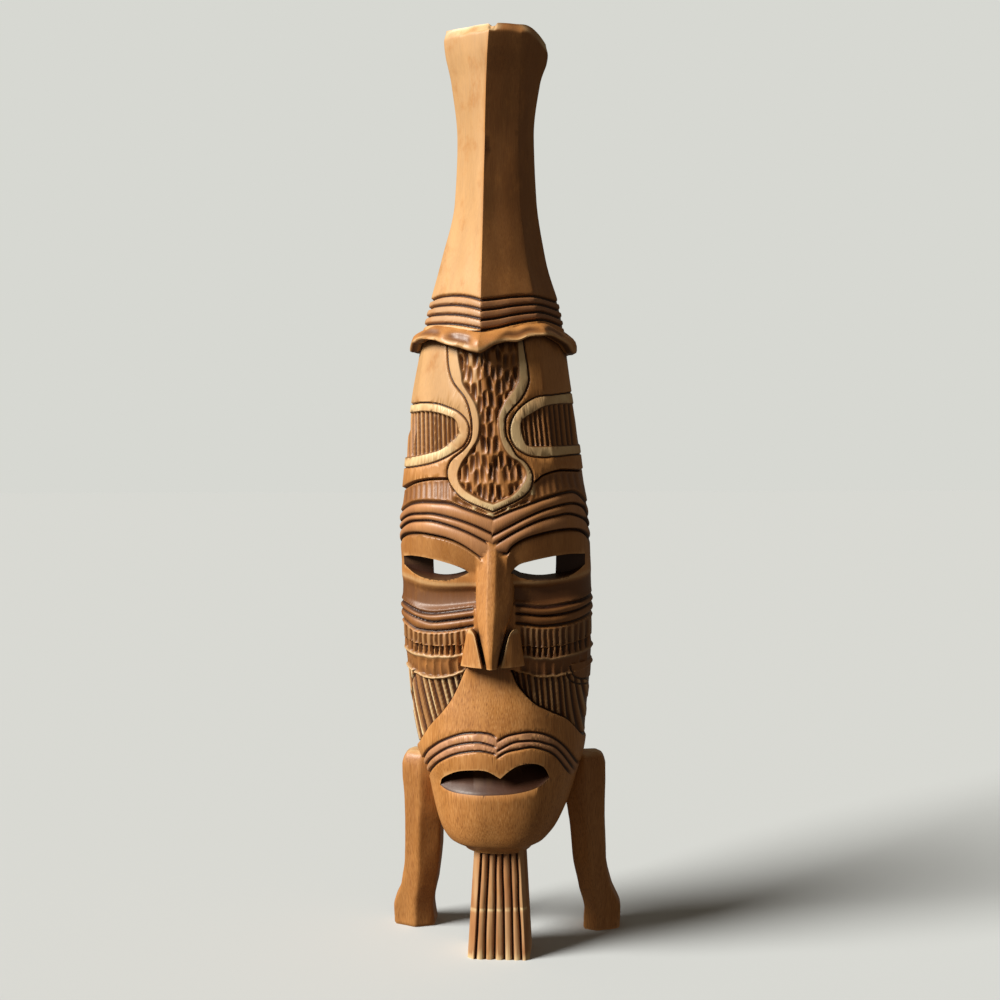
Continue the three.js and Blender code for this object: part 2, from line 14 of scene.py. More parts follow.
import bpy
import numpy as np
from mathutils import Matrix, Vector
from mathutils.bvhtree import BVHTree
from mathutils.kdtree import KDTree


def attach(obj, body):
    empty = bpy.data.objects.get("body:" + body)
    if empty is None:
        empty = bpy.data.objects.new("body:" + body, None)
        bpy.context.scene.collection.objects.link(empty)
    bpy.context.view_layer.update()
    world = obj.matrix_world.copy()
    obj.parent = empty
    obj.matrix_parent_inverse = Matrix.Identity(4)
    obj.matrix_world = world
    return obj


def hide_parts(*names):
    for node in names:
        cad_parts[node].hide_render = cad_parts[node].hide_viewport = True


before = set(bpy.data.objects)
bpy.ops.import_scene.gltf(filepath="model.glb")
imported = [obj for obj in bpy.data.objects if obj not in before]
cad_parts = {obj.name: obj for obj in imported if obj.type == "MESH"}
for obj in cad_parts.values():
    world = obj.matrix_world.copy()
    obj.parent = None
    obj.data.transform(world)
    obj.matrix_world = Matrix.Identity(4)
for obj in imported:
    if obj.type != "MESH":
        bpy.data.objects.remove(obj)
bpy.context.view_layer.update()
MM = 0.001
# The carving is drawn about the middle of the face, and the frame's origin is the middle of
# the footprint, which lies a little further back.
FOOTPRINT_SHIFT_Y = 5.0

# %% [markdown]
# The camera stands where the photograph was taken from: about 600 mm away, 230 mm above
# the floor and a little to the right of the mask's middle. A camera's own axes are its right,
# its up and its back, so its matrix can be written from those three directions.

# %% Camera
CAMERA_DISTANCE = 600.0
CAMERA_HEIGHT = 230.1
CAMERA_YAW = math.radians(4.5)
FOCAL_PIXELS = 1439.0
IMAGE_PIXELS = 1000.0
HORIZON_ABOVE_MIDDLE = 100.0
CAMERA_ROLL = math.radians(0.45)
SENSOR_MM = 36.0


def make_camera():
    pitch = math.atan(HORIZON_ABOVE_MIDDLE / FOCAL_PIXELS)
    flat = Vector((-math.sin(CAMERA_YAW), math.cos(CAMERA_YAW), 0.0))
    look = flat * math.cos(pitch) - Vector((0, 0, math.sin(pitch)))
    level = look.cross(Vector((0, 0, 1))).normalized()
    upright = level.cross(look)
    right = level * math.cos(CAMERA_ROLL) - upright * math.sin(CAMERA_ROLL)
    up = level * math.sin(CAMERA_ROLL) + upright * math.cos(CAMERA_ROLL)
    place = -flat * CAMERA_DISTANCE + Vector((0, FOOTPRINT_SHIFT_Y, CAMERA_HEIGHT))
    data = bpy.data.cameras.new("camera")
    data.sensor_fit = "HORIZONTAL"
    data.sensor_width = SENSOR_MM
    data.lens = FOCAL_PIXELS / IMAGE_PIXELS * SENSOR_MM
    camera = bpy.data.objects.new("camera", data)
    axes = Matrix((right, up, -look)).transposed().to_4x4()
    camera.matrix_world = Matrix.Translation(place * MM) @ axes
    bpy.context.scene.collection.objects.link(camera)
    bpy.context.scene.camera = camera
    return camera


camera = make_camera()
print("lens in mm:", round(camera.data.lens, 1))

# %% [markdown]
# The bare block is a stack of rings. Each ring is a cut through the wood at one height. Four
# curves say how wide it is to the left and the right, how far the front ridge stands out
# and how deep the sides run back. A curve through a few measured heights keeps the outline
# smooth, as a rasp leaves it.

# %% Curves through measured heights
OUTLINE_Z = [45, 49, 54, 63, 74, 86, 100, 120, 150, 176, 206, 230, 249, 262, 288, 312, 338, 360, 372,
             377, 381]
LEFT = [15.5, 22.4, 25.6, 28.4, 31, 36, 38.1, 39.8, 42.3, 42.3, 39.8, 36.8, 33.2, 31, 23.3, 17.7, 16.3,
        18.6, 21, 21.4, 20.5]
RIGHT = [13.5, 19.4, 23.5, 28, 31.5, 34.9, 36.4, 38.1, 38.6, 37.6, 34.2, 30.6, 28.1, 26.5, 19.7, 16,
         15.1, 17.8, 20.6, 21, 20.2]
FRONT = [23, 27, 29, 31, 32, 33, 31, 28, 27.5, 30, 29, 28, 27, 25.5, 19.5, 15.2, 13.6, 14.6, 16.4, 16.8,
         11.8]
BACK = [-3, 2, 8, 13, 15, 16, 16, 16, 17, 17, 17, 16.5, 16, 15, 13, 11.5, 11, 12, 13.5, 13.9, 13]
RIDGE_Z = [44, 100, 187, 249, 288, 345, 377, 381]
RIDGE_X = [0, 0, -1, -5.4, -5, -3.7, -1.7, 0]
ROUNDNESS_Z = [44, 66, 100, 165, 249, 288, 330, 381]
ROUNDNESS = [2.9, 2.3, 1.9, 1.9, 1.68, 1.42, 1.34, 1.34]
BACK_TAPER = 0.86
BLOCK_BOTTOM, BLOCK_TOP = 45.0, 381.0


def smooth(keys, values, at):
    """A cubic curve through the values, which never overshoots them and ends level."""
    keys = np.asarray(keys, float)
    values = np.asarray(values, float)
    spans = np.diff(keys)
    rises = np.diff(values) / spans
    slopes = np.zeros_like(values)
    before, after = rises[:-1], rises[1:]
    same = before * after > 0
    slopes[1:-1][same] = 2 * before[same] * after[same] / (before[same] + after[same])
    at = np.clip(at, keys[0], keys[-1])
    i = np.clip(np.searchsorted(keys, at, side="right") - 1, 0, len(spans) - 1)
    t = (at - keys[i]) / spans[i]
    entry, leave = slopes[i] * spans[i], slopes[i + 1] * spans[i]
    bend = (t - 1) ** 2 * t * entry + t ** 2 * (t - 1) * leave
    return values[i] + t ** 2 * (3 - 2 * t) * (values[i + 1] - values[i]) + bend


def step(low, high, value):
    """0 below low, 1 above high, and an easy slope between them."""
    t = np.clip((value - low) / (high - low), 0, 1)
    return t * t * (3 - 2 * t)


def left_at(z):
    return -smooth(OUTLINE_Z, LEFT, z)


def right_at(z):
    return smooth(OUTLINE_Z, RIGHT, z)


def front_at(z):
    return smooth(OUTLINE_Z, FRONT, z)


def back_at(z):
    return smooth(OUTLINE_Z, BACK, z)


def ridge_at(z):
    return smooth(RIDGE_Z, RIDGE_X, z)


def front_y(x, z):
    """Depth of the bare block's front behind a point of the front view."""
    ridge = ridge_at(z)
    side = np.where(x < ridge, left_at(z), right_at(z))
    across = np.clip((x - ridge) / (side - ridge), 0, 0.999)
    power = smooth(ROUNDNESS_Z, ROUNDNESS, z)
    return -front_at(z) * (1 - across ** power) ** (1 / power)


print("face is widest at", round(float((right_at(160.0) - left_at(160.0))), 1), "mm")

# %% [markdown]
# Nothing cut by hand is even. A lattice of random numbers, blended smoothly between its
# points, gives slow lumps of any size: the marks of a knife, or a wandering line. The random
# numbers start from a fixed seed, so that the mask is the same each time.

# %% Hand-made unevenness
LATTICE = np.random.default_rng(11).uniform(-1, 1, (32, 32, 32))
JITTER = np.random.default_rng(23).uniform(-1, 1, 512)


def lumps(x, y, z, size, shift=0):
    """Smooth noise from -1 to 1, with lumps about one size across."""
    points = [np.asarray(v, float) / s + shift for v, s in zip((x, y, z), size)]
    cells = [np.floor(v).astype(int) for v in points]
    blends = [step(0, 1, v - c) for v, c in zip(points, cells)]
    total = 0
    for corner in range(8):
        bits = [(corner >> k) & 1 for k in range(3)]
        index = tuple((c + b) % 32 for c, b in zip(cells, bits))
        weight = 1
        for blend, bit in zip(blends, bits):
            weight = weight * (blend if bit else 1 - blend)
        total = total + weight * LATTICE[index]
    return total


def jitter(index, channel=0):
    """One fixed random number from -1 to 1 for each whole number."""
    return JITTER[(np.asarray(index).astype(int) * 7 + channel * 61) % len(JITTER)]


def gouges(x, z, pitch, half, lean=0.0, loose=0.16, channel=0):
    """Overlapping boat-shaped gouge strokes in staggered rows, as a depth from 0 to about 1."""
    deepest = np.zeros_like(x)
    row_here = np.floor(z / pitch[1])
    for row in (row_here - 1, row_here, row_here + 1):
        stagger = 0.5 * (row % 2)
        column_here = np.floor(x / pitch[0] - stagger)
        for column in (column_here - 1, column_here, column_here + 1):
            key = row * 37 + column * 5
            middle_x = (column + 0.5 + stagger + loose * jitter(key, channel)) * pitch[0]
            middle_z = (row + 0.5 + loose * jitter(key, channel + 1)) * pitch[1]
            v = (z - middle_z) / half[1]
            u = (x - middle_x - (lean + 0.08 * jitter(key, channel + 2)) * (z - middle_z)) / half[0]
            run = np.where(v > 0.35, (v - 0.35) / 0.65, (0.35 - v) / 1.35)
            stroke = np.clip(1 - u * u, 0, 1) * np.clip(1 - run * run, 0, 1)
            deepest = np.maximum(deepest, stroke * (1 + 0.25 * jitter(key, channel + 3)))
    return deepest


print("lattice points:", LATTICE.size)

# %% [markdown]
# The carved lines are listed as the carver would draw them, in the front view: x to the
# right and z up, in millimetres. A smooth curve runs through the points of each.

# %% Drawn lines
def curve(points, count=8):
    """A smooth line through a few drawn points."""
    p = np.asarray(points, float)
    p = np.vstack([2 * p[0] - p[1], p, 2 * p[-1] - p[-2]])
    t = np.linspace(0, 1, count, endpoint=False)[:, None]
    made = []
    for a, b, c, d in zip(p[:-3], p[1:-2], p[2:-1], p[3:]):
        made.append(0.5 * (2 * b + (c - a) * t + (2 * a - 5 * b + 4 * c - d) * t ** 2
                           + (3 * b - a - 3 * c + d) * t ** 3))
    return np.vstack(made + [p[-2:-1]])


def between(first, last, count):
    """Lines that lie evenly between two drawn ones."""
    return [first * (1 - s) + last * s for s in np.linspace(0, 1, count)]


CAP_LEFT = between(
    curve([(-35, 270.4), (-27.6, 271.7), (-23.3, 272.7), (-16.5, 272.7), (-10.6, 271.7),
           (-5.2, 269.9)]),
    curve([(-41, 258.6), (-32.8, 260.7), (-27.1, 261.6), (-18.5, 261.2), (-12.3, 260.2),
           (-5.4, 258.6)]), 4)
CAP_RIGHT = between(
    curve([(-5.2, 269.8), (1.2, 270.7), (8.1, 271.6), (15.1, 272), (19.7, 271.5), (31, 268.4)]),
    curve([(-5.4, 257.9), (1.4, 259), (8.4, 260.8), (15.3, 262.1), (22, 262.1), (35, 256.4)]), 4)

BROW_LEFT = [
    curve([(-46, 176), (-42.1, 183), (-37.1, 187.3), (-31.3, 188.9), (-24.5, 189.1), (-18.1, 188.7),
           (-11.4, 186.6), (-0.9, 183)]),
    curve([(-46, 173), (-41.8, 179.5), (-37, 183.2), (-30.3, 184.3), (-24.5, 184.3), (-16, 182.6),
           (-8, 180), (-0.9, 176.8)]),
    curve([(-46, 170), (-41.8, 176.3), (-37.2, 180.2), (-31.3, 181.4), (-25.4, 181.4), (-17, 179.4),
           (-9, 176.4), (-0.9, 172.2)]),
    curve([(-46, 163), (-41.9, 171.1), (-39.2, 174.9), (-32.7, 176.2), (-24.6, 175.5), (-18.6, 174.2),
           (-13.2, 171.9), (-8.8, 169.2), (-5.6, 166.9)]),
]
BROW_RIGHT = [
    curve([(-0.9, 182.7), (7, 186), (12.5, 187.9), (19.9, 190.4), (28.1, 192.5), (32.6, 192.1),
           (36.3, 187.3), (41, 178)]),
    curve([(-0.9, 176.1), (6.5, 179.9), (13, 183.2), (20.5, 186.2), (28.1, 187.9), (32.4, 187.8),
           (35.2, 186), (36.9, 181.7), (41, 172)]),
    curve([(-0.9, 172), (6, 176.2), (12.5, 179.6), (18.5, 182), (24.6, 183.4), (30.2, 183.9),
           (35.6, 181.3), (37.5, 176.9), (41, 168)]),
    curve([(4.9, 168.8), (7.7, 172), (12.5, 174.7), (19.5, 176.6), (26.2, 177.6), (31.7, 177.5),
           (35.2, 176.2), (37.5, 172.7), (41, 164)]),
]
CHEEK_LEFT = [
    curve([(-46, 147.2), (-42, 146.4), (-36.2, 144.4), (-32.4, 143.4), (-27, 143.3), (-19.2, 144.5),
           (-8, 146.4)]),
    curve([(-46, 145), (-38.6, 142.3), (-33.4, 140.9), (-27.1, 140), (-19.2, 141.2), (-8, 143.2)]),
    curve([(-46, 141.4), (-38.7, 138.2), (-34.2, 136.4), (-27.1, 136.3), (-19.3, 137.3), (-12.1, 138.9),
           (-8, 139.8)]),
]
CHEEK_RIGHT = [
    curve([(7, 147.8), (10.5, 147.5), (19.6, 146.3), (29.5, 147), (36, 148), (42, 150.4)]),
    curve([(7, 144.6), (10.1, 144.3), (19.6, 143), (29.5, 143.6), (36, 145), (42, 147.6)]),
    curve([(7, 140.8), (12.1, 140.1), (19.2, 139), (29.5, 139.5), (36, 141), (42, 143.6)]),
]
LIP_LEFT = [
    curve([(-35.6, 73), (-33.2, 78.9), (-30.2, 85.3), (-27.1, 88.8), (-22.1, 92.4), (-14.7, 95.7),
           (-8, 96.8), (-2.7, 96.5), (0.4, 95.2)]),
    curve([(-33.4, 72.6), (-32.1, 75.6), (-29, 82), (-24.6, 86.6), (-19, 90.2), (-12, 92.4), (-6, 92.9),
           (0.4, 91.4)]),
    curve([(-32.4, 69.8), (-30.8, 72.9), (-28, 78.6), (-24, 83.2), (-18, 87), (-12, 88.9), (-6, 89.6),
           (0.4, 88.5)]),
]
LIP_RIGHT = [
    curve([(0.4, 93.6), (4.5, 95.7), (9.7, 96.7), (14.4, 96.8), (19.5, 95.5), (24.2, 92.7),
           (28.1, 88.5), (31, 83.1), (33.4, 77)]),
    curve([(0.4, 89.8), (6.5, 92.9), (11.2, 93.5), (16.2, 93.1), (19.9, 91.8), (24.2, 89.5),
           (28.1, 84.2), (31.6, 76.6)]),
    curve([(0.4, 87.2), (4.5, 89.5), (9.7, 90.5), (14.4, 90.9), (18.7, 89.6), (22.6, 87.4),
           (25.7, 83.7), (30, 75.8)]),
]

# The hourglass on the forehead: the outer and the inner edge of its raised frame
FRAME_OUTER_LEFT = [(-19.6, 257), (-19.2, 250.7), (-18.6, 243.5), (-16.6, 237.4), (-11.4, 230.6),
                    (-9.2, 223.8), (-8.8, 218.3), (-9.6, 213.9), (-12.5, 210.1), (-18, 205.5),
                    (-19.3, 199.8), (-16.8, 194.7), (-11.4, 190.2), (-0.6, 185.9)]
FRAME_OUTER_RIGHT = [(-0.6, 185.9), (8.6, 190.2), (12.5, 192.7), (14.5, 195.4), (15, 198.9),
                     (14.5, 201.7), (12.5, 205), (9, 207.8), (6.7, 211.8), (4.8, 215.4), (4.3, 219.8),
                     (4.6, 223.3), (6.6, 226.3), (10.3, 230.4), (12.8, 235.2), (13.4, 240), (11.6, 252),
                     (11, 257)]
FRAME_INNER_LEFT = [(-15.4, 257), (-14.9, 248.2), (-13.4, 240.2), (-12.6, 236.2), (-7.5, 228.2),
                    (-5.9, 221), (-6.8, 214.7), (-10.4, 209.2), (-13.8, 204.3), (-14.9, 199.5),
                    (-12.6, 194.8), (-5.7, 190.6), (-0.3, 188.7)]
FRAME_INNER_RIGHT = [(-0.3, 188.7), (4.7, 190.8), (8.2, 192.8), (11.4, 196.5), (12.8, 199.8),
                     (12.2, 202.6), (10, 205.4), (6.7, 207.5), (4, 211.1), (2.4, 216.2), (2, 222.2),
                     (3.1, 226.3), (5.6, 230.9), (8.7, 235.2), (9.9, 239), (9.3, 252), (8.8, 257)]
FRAME_OUTER = np.vstack([curve(FRAME_OUTER_LEFT), curve(FRAME_OUTER_RIGHT)])
FRAME_INNER = np.vstack([curve(FRAME_INNER_LEFT), curve(FRAME_INNER_RIGHT)])

# The half ovals beside it run off the sides of the forehead
OVAL_LEFT_OUTER = curve([(-50, 228), (-43, 228.2), (-36.6, 228.5), (-30.5, 229.1), (-24.5, 228.7),
                         (-20.1, 227.5), (-14.8, 225.2), (-11, 221.2), (-10.4, 216.6), (-12.6, 212.2),
                         (-17.1, 209.1), (-22.3, 206.4), (-28.5, 204.4), (-39.1, 202.6), (-50, 201.6)])
OVAL_LEFT_INNER = curve([(-50, 225.2), (-43, 225.2), (-36.4, 225.4), (-30.5, 226), (-24.5, 225.5),
                         (-20.1, 224.3), (-16.4, 222.8), (-15, 220.3), (-14.8, 216.3), (-18, 213.3),
                         (-22.3, 210.2), (-29.2, 208.2), (-38.6, 206.4), (-50, 205.4)])
OVAL_RIGHT_OUTER = curve([(44, 232.8), (36, 233), (29.5, 232.7), (23.4, 231.9), (17.2, 231.2),
                          (12.6, 228.8), (8.7, 224.9), (6.7, 220.2), (6.7, 215.4), (8.7, 211.4),
                          (11.8, 209), (14.9, 207.7), (19.5, 207.2), (24, 207.4), (34, 207.8),
                          (44, 208)])
OVAL_RIGHT_INNER = curve([(44, 228.4), (36, 228.5), (30.3, 228.6), (24.6, 228.5), (19.9, 227.6),
                          (16.1, 225.6), (11, 222.1), (10.6, 218.1), (11.8, 213.7), (13.6, 211.6),
                          (19.6, 211.2), (29.7, 211.2), (44, 211.2)])

STEP_LEFT = curve([(-46, 189.6), (-40.5, 193.8), (-34.6, 196.8), (-27.2, 198.4), (-18.9, 198.8),
                   (-15, 199)])
STEP_RIGHT = curve([(13.6, 195.6), (17.2, 198.1), (19.9, 200.1), (26.2, 201.7), (34.3, 201),
                    (42, 199.6)])

# The chip rows on the cheeks: the foot of each row
ROW_LEFT = [
    curve([(-46, 133), (-38, 131.2), (-31, 130.4), (-22, 130.8), (-8, 132.4)]),
    curve([(-46, 128.4), (-37.8, 126.4), (-31.4, 125.7), (-22.5, 126), (-14.3, 127), (-8, 127.8)]),
    curve([(-46, 121), (-34.7, 118.3), (-30.4, 116.9), (-25.6, 117), (-19.5, 118.5), (-13.9, 120.9),
           (-8, 122.6)]),
]
ROW_RIGHT = [
    curve([(7, 132.4), (13, 131.4), (22, 130.6), (32, 131.6), (43, 134)]),
    curve([(7, 127.4), (13.2, 126.7), (22.5, 125.5), (31.4, 126.4), (43, 129.4)]),
    curve([(7, 121.8), (13.4, 120), (20, 118.6), (27, 118.4), (32, 119.4), (43, 122.6)]),
]

# Where the muzzle's barrel meets the cheeks
MUZZLE_LEFT = curve([(-11.4, 123.4), (-13.1, 121), (-15.8, 114.8), (-19, 108.9), (-23.4, 103.1),
                     (-28.4, 97.3), (-32.6, 90.7), (-38, 82)])
MUZZLE_RIGHT = curve([(4.6, 123.4), (6.4, 121), (9, 115.4), (15.5, 108.2), (22.5, 103.9), (29.3, 99.4),
                      (34.8, 90.9), (39, 84)])

print("drawn lines:", sum(map(len, (CAP_LEFT, CAP_RIGHT, BROW_LEFT, BROW_RIGHT, CHEEK_LEFT, CHEEK_RIGHT,
                                    LIP_LEFT, LIP_RIGHT, ROW_LEFT, ROW_RIGHT))) + 10)

# %% [markdown]
# Three kinds of distance turn the drawn lines into cuts. For a line that runs across the
# face, the height above it is enough, corrected for its slope. For a line that turns back on
# itself the distance to its nearest point is needed, and for a closed outline that distance
# gets a sign: more than zero inside and less than zero outside.

# %% From lines to distances
def level(line, x):
    """Height of a line at x, and its slope there."""
    order = np.argsort(line[:, 0], kind="stable")
    lx, lz = line[order, 0], line[order, 1]
    height = np.interp(x, lx, lz)
    return height, (np.interp(x + 0.4, lx, lz) - np.interp(x - 0.4, lx, lz)) / 0.8


def above(line, x, z):
    """Height of a point above a line, square to it, and how far inside its ends it is."""
    height, slope = level(line, x)
    inside = np.minimum(x - line[:, 0].min(), line[:, 0].max() - x)
    return (z - height) / np.sqrt(1 + np.minimum(slope ** 2, 6)), inside


def away(line, x, z, reach=4.0):
    """Distance to the nearest point of a line, worked out only close to it."""
    far = np.full(x.shape, 99.0)
    low, high = line.min(0) - reach, line.max(0) + reach
    near = (x > low[0]) & (x < high[0]) & (z > low[1]) & (z < high[1])
    px, pz = x[near], z[near]
    best = np.full(px.shape, 99.0)
    for (ax, az), (bx, bz) in zip(line[:-1], line[1:]):
        dx, dz = bx - ax, bz - az
        size = dx * dx + dz * dz
        if size == 0:
            continue
        along = np.clip(((px - ax) * dx + (pz - az) * dz) / size, 0, 1)
        best = np.minimum(best, np.hypot(px - ax - along * dx, pz - az - along * dz))
    far[near] = best
    return far


def inside_by(outline, x, z):
    """Distance to a closed outline, more than zero inside it."""
    ring = np.vstack([outline, outline[:1]])
    within = np.zeros(x.shape, bool)
    for (ax, az), (bx, bz) in zip(ring[:-1], ring[1:]):
        if az == bz:
            continue
        crosses = ((az > z) != (bz > z)) & (x < ax + (z - az) * (bx - ax) / (bz - az))
        within ^= crosses
    distance = away(ring, x, z)
    return np.where(within, distance, -distance)


print("outline points in the hourglass:", len(FRAME_OUTER))

# %% [markdown]
# A V-shaped parting tool leaves a depth that grows towards the line. Where several lines lie
# close together, the wood between them is left as rounded rolls. The relief keeps the cut
# depth and, beside it, how much of each finish lies there: brown stain, scraped pale wood,
# dark dirt in a groove, and the reddish wax that was rubbed over the bands of lines. In a few
# places the stain and the dark layers also hold painted shade and painted shadow.

# %% The relief and its tools
VALLEY_FLOOR = 0.28


class Relief:
    """The carved height over the bare block, and how each finish lies on it."""

    def __init__(self, x, z):
        self.x = x
        self.z = z
        self.height = np.zeros_like(x)
        self.cut = np.zeros_like(x)
        self.stain = np.zeros_like(x)
        self.pale = np.zeros_like(x)
        self.dark = np.zeros_like(x)
        self.blush = np.zeros_like(x)

    def paint(self, name, amount):
        setattr(self, name, np.maximum(getattr(self, name), amount))

    def wipe(self, amount, names=("cut", "stain", "pale", "dark", "blush")):
        for name in names:
            setattr(self, name, getattr(self, name) * (1 - amount))

    def groove(self, distance, width, depth, fade=1.0, dark=1.0):
        """A V-shaped line with a narrow floor; distance is measured from its middle."""
        share = np.clip(1 - np.abs(distance) / (width / 2), 0, 1)
        self.cut = np.maximum(self.cut, depth * np.minimum(share / 0.55, 1) * fade)
        self.paint("dark", dark * step(0.12, 0.6, share) * fade)

    def rolls(self, lines, depth, power, where, reach=0.9):
        """Rounded rolls between neighbouring lines, with a narrow valley along each line."""
        levels = [level(line, self.x)[0] for line in lines]
        cut = np.zeros_like(self.x)
        for upper, lower in zip(levels[:-1], levels[1:]):
            clear = np.minimum(self.z - lower, upper - self.z)
            t = np.maximum(clear - VALLEY_FLOOR, 0) / ((upper - lower) - 2 * VALLEY_FLOOR)
            bulge = np.clip(1 - (2 * t - 1) ** 2, 0, 1) ** power
            cut = np.where(clear > 0, depth * (1 - bulge), cut)
        for beyond in (self.z - levels[0], levels[-1] - self.z):
            edge = depth * np.clip(1 - (beyond - VALLEY_FLOOR) / reach, 0, 1)
            cut = np.where(beyond >= 0, np.maximum(cut, edge), cut)
        self.cut = np.maximum(self.cut, cut * where)
        for line in lines:
            distance, _ = above(line, self.x, self.z)
            self.paint("dark", 0.95 * step(0.85, 0.3, np.abs(distance)) * where)


def band(relief, lines, spare=0.4):
    """1 between the first and the last of a family of lines."""
    top, _ = above(lines[0], relief.x, relief.z)
    bottom, _ = above(lines[-1], relief.x, relief.z)
    return step(spare, -0.3, top) * step(-spare, 0.3, bottom)


# %% [markdown]
# The cap's four thin lines go right round to the sides. The brow's four make three thick
# rolls that meet in a V over the nose, and the lowest is the edge of the eye's hollow.

# %% Cap, brow, cheek and lip lines
MIDDLE_X, LIPS_MEET_X = -0.9, 0.4
CAP_LINE, LIP_LINE = (1.5, 1.15), (1.35, 0.9)
CAP_DISH_DEEP, CAP_DISH_HALF = 0.35, 1.9
BROW_ROLL, CHEEK_ROLL = (1.45, 0.42), (1.4, 0.5)
CHEEKS_START_LEFT, CHEEKS_START_RIGHT = 8.4, 7.4
CAP_BLUSH, BROW_BLUSH, LIP_BLUSH = 0.5, 0.3, 0.6
FACE_STAIN, CHEEK_STAIN = 0.12, 0.62


def cap_and_face_lines(relief):
    x, z = relief.x, relief.z
    ridge = ridge_at(z)
    for lines, here, stain in ((CAP_LEFT, x < ridge, 0.3), (CAP_RIGHT, x >= ridge, 0.55)):
        for line in lines:
            distance, _ = above(line, x, z)
            dish = np.clip(1 - np.abs(distance) / CAP_DISH_HALF, 0, 1) ** 2
            relief.height -= CAP_DISH_DEEP * dish * here
            relief.groove(distance, *CAP_LINE, here * 1.0)
        relief.paint("stain", stain * band(relief, lines) * here)
        relief.paint("blush", CAP_BLUSH * band(relief, lines) * here)
    for lines, here in ((BROW_LEFT, x < MIDDLE_X), (BROW_RIGHT, x >= MIDDLE_X)):
        relief.rolls(lines, *BROW_ROLL, here * 1.0)
        relief.paint("stain", FACE_STAIN * band(relief, lines) * here)
        relief.paint("blush", BROW_BLUSH * band(relief, lines) * here)
    for lines, past in ((CHEEK_LEFT, -x - CHEEKS_START_LEFT), (CHEEK_RIGHT, x - CHEEKS_START_RIGHT)):
        where = step(0, 1.2, past)
        relief.rolls(lines, *CHEEK_ROLL, where)
        relief.paint("stain", CHEEK_STAIN * band(relief, lines, 1.5) * where)
    for lines, here in ((LIP_LEFT, x < LIPS_MEET_X), (LIP_RIGHT, x >= LIPS_MEET_X)):
        for line in lines:
            distance, inside = above(line, x, z)
            relief.groove(distance, *LIP_LINE, here * step(-0.3, 1.2, inside) * step(70, 74, z))
        relief.paint("stain", FACE_STAIN * band(relief, lines) * here)
        relief.paint("blush", LIP_BLUSH * band(relief, lines) * here * step(72, 76, z))


# %% [markdown]
# The hourglass panel is sunk a little and filled with short gouge strokes in staggered
# rows. Its frame and the ovals' borders are left at full height, between two thin lines,
# and their stain was scraped away, so they show the pale bare wood.

# %% Forehead panel and ovals
PANEL_PITCH, PANEL_HALF, PANEL_LEAN, PANEL_LOOSE = (3.2, 5.8), (1.3, 3.9), -0.04, 0.3
PANEL_SUNK, STROKE_DEEP, FRAME_PROUD = 0.75, 1.35, 0.12
FRAME_LINE, OVAL_LINE = (1.1, 0.8), (1.0, 0.75)
OVAL_SUNK, FLUTE_DEEP, FLUTE_LEAN_FROM_Z = 0.5, 0.95, 218
# The left half of the frame was scraped less, and its waist less than its foot
FRAME_LEFT_PALE, FRAME_LEFT_UP_TO_X = 0.4, -2.3


def hourglass(relief):
    x, z = relief.x, relief.z
    outer, inner = inside_by(FRAME_OUTER, x, z), inside_by(FRAME_INNER, x, z)
    on_frame = step(-0.1, 0.35, outer) * step(0.1, -0.35, inner)
    relief.wipe(step(-0.3, 0.2, outer))
    relief.height += FRAME_PROUD * on_frame - relief.height * step(-0.2, 0.2, outer)
    relief.groove(outer + 0.25, *FRAME_LINE)
    panel = step(0.0, 0.7, inner)
    relief.height -= PANEL_SUNK * panel
    strokes = gouges(x, z, PANEL_PITCH, PANEL_HALF, PANEL_LEAN, PANEL_LOOSE)
    relief.cut = np.maximum(relief.cut, STROKE_DEEP * strokes * panel)
    relief.paint("stain", (0.22 + 0.5 * step(0.2, 0.6, strokes)) * panel)
    relief.paint("dark", 0.62 * step(0.55, 1.0, strokes) * panel)
    relief.paint("dark", 0.7 * step(0.75, 0.1, inner) * step(-0.25, 0.05, inner))
    worn = 0.5 + 0.3 * lumps(x, 0, z, (5, 1, 7), 15)
    share = np.where(x < FRAME_LEFT_UP_TO_X, FRAME_LEFT_PALE, 1.0)
    share = share * (1 - 0.25 * step(196, 200, z) * step(214, 206, z))
    relief.paint("pale", on_frame * np.maximum(share, step(196, 191, z)) * (0.45 + worn * 0.7))


def half_oval(relief, outer_line, inner_line, pitch, lean, stain):
    x, z = relief.x, relief.z
    outer, inner = inside_by(outer_line, x, z), inside_by(inner_line, x, z)
    clear = step(0.1, -0.6, inside_by(FRAME_OUTER, x, z))
    relief.wipe(step(-0.3, 0.2, outer) * clear)
    relief.groove(outer + 0.2, *OVAL_LINE, clear)
    field = step(0.0, 0.6, inner)
    relief.height -= OVAL_SUNK * field
    across = (x + lean * (z - FLUTE_LEAN_FROM_Z)) / pitch
    column = np.floor(across)
    u = np.abs(across - column - 0.5 + 0.1 * jitter(column, 5))
    share = np.minimum(np.clip(1 - u / 0.42, 0, 1) / 0.75, 1)
    relief.cut = np.maximum(relief.cut, FLUTE_DEEP * share * field)
    relief.paint("stain", (stain + 0.25 * step(0.2, 0.7, share)) * field)
    relief.paint("dark", 0.75 * step(0.4, 0.9, share) * field)
    relief.paint("dark", 0.75 * step(0.7, 0.1, inner) * step(-0.3, 0.0, inner))
    on_border = step(-0.1, 0.3, outer) * step(0.1, -0.3, inner) * clear
    worn = 0.6 + 0.4 * lumps(x, 0, z, (7, 1, 4), 18)
    left_tip = step(17.5, 12, np.abs(x)) * (x < 0)
    relief.paint("pale", on_border * worn * (1 - 0.6 * left_tip))


def forehead(relief):
    half_oval(relief, OVAL_LEFT_OUTER, OVAL_LEFT_INNER, pitch=1.95, lean=0.03, stain=0.18)
    half_oval(relief, OVAL_RIGHT_OUTER, OVAL_RIGHT_INNER, pitch=2.0, lean=0.1, stain=0.35)
    hourglass(relief)


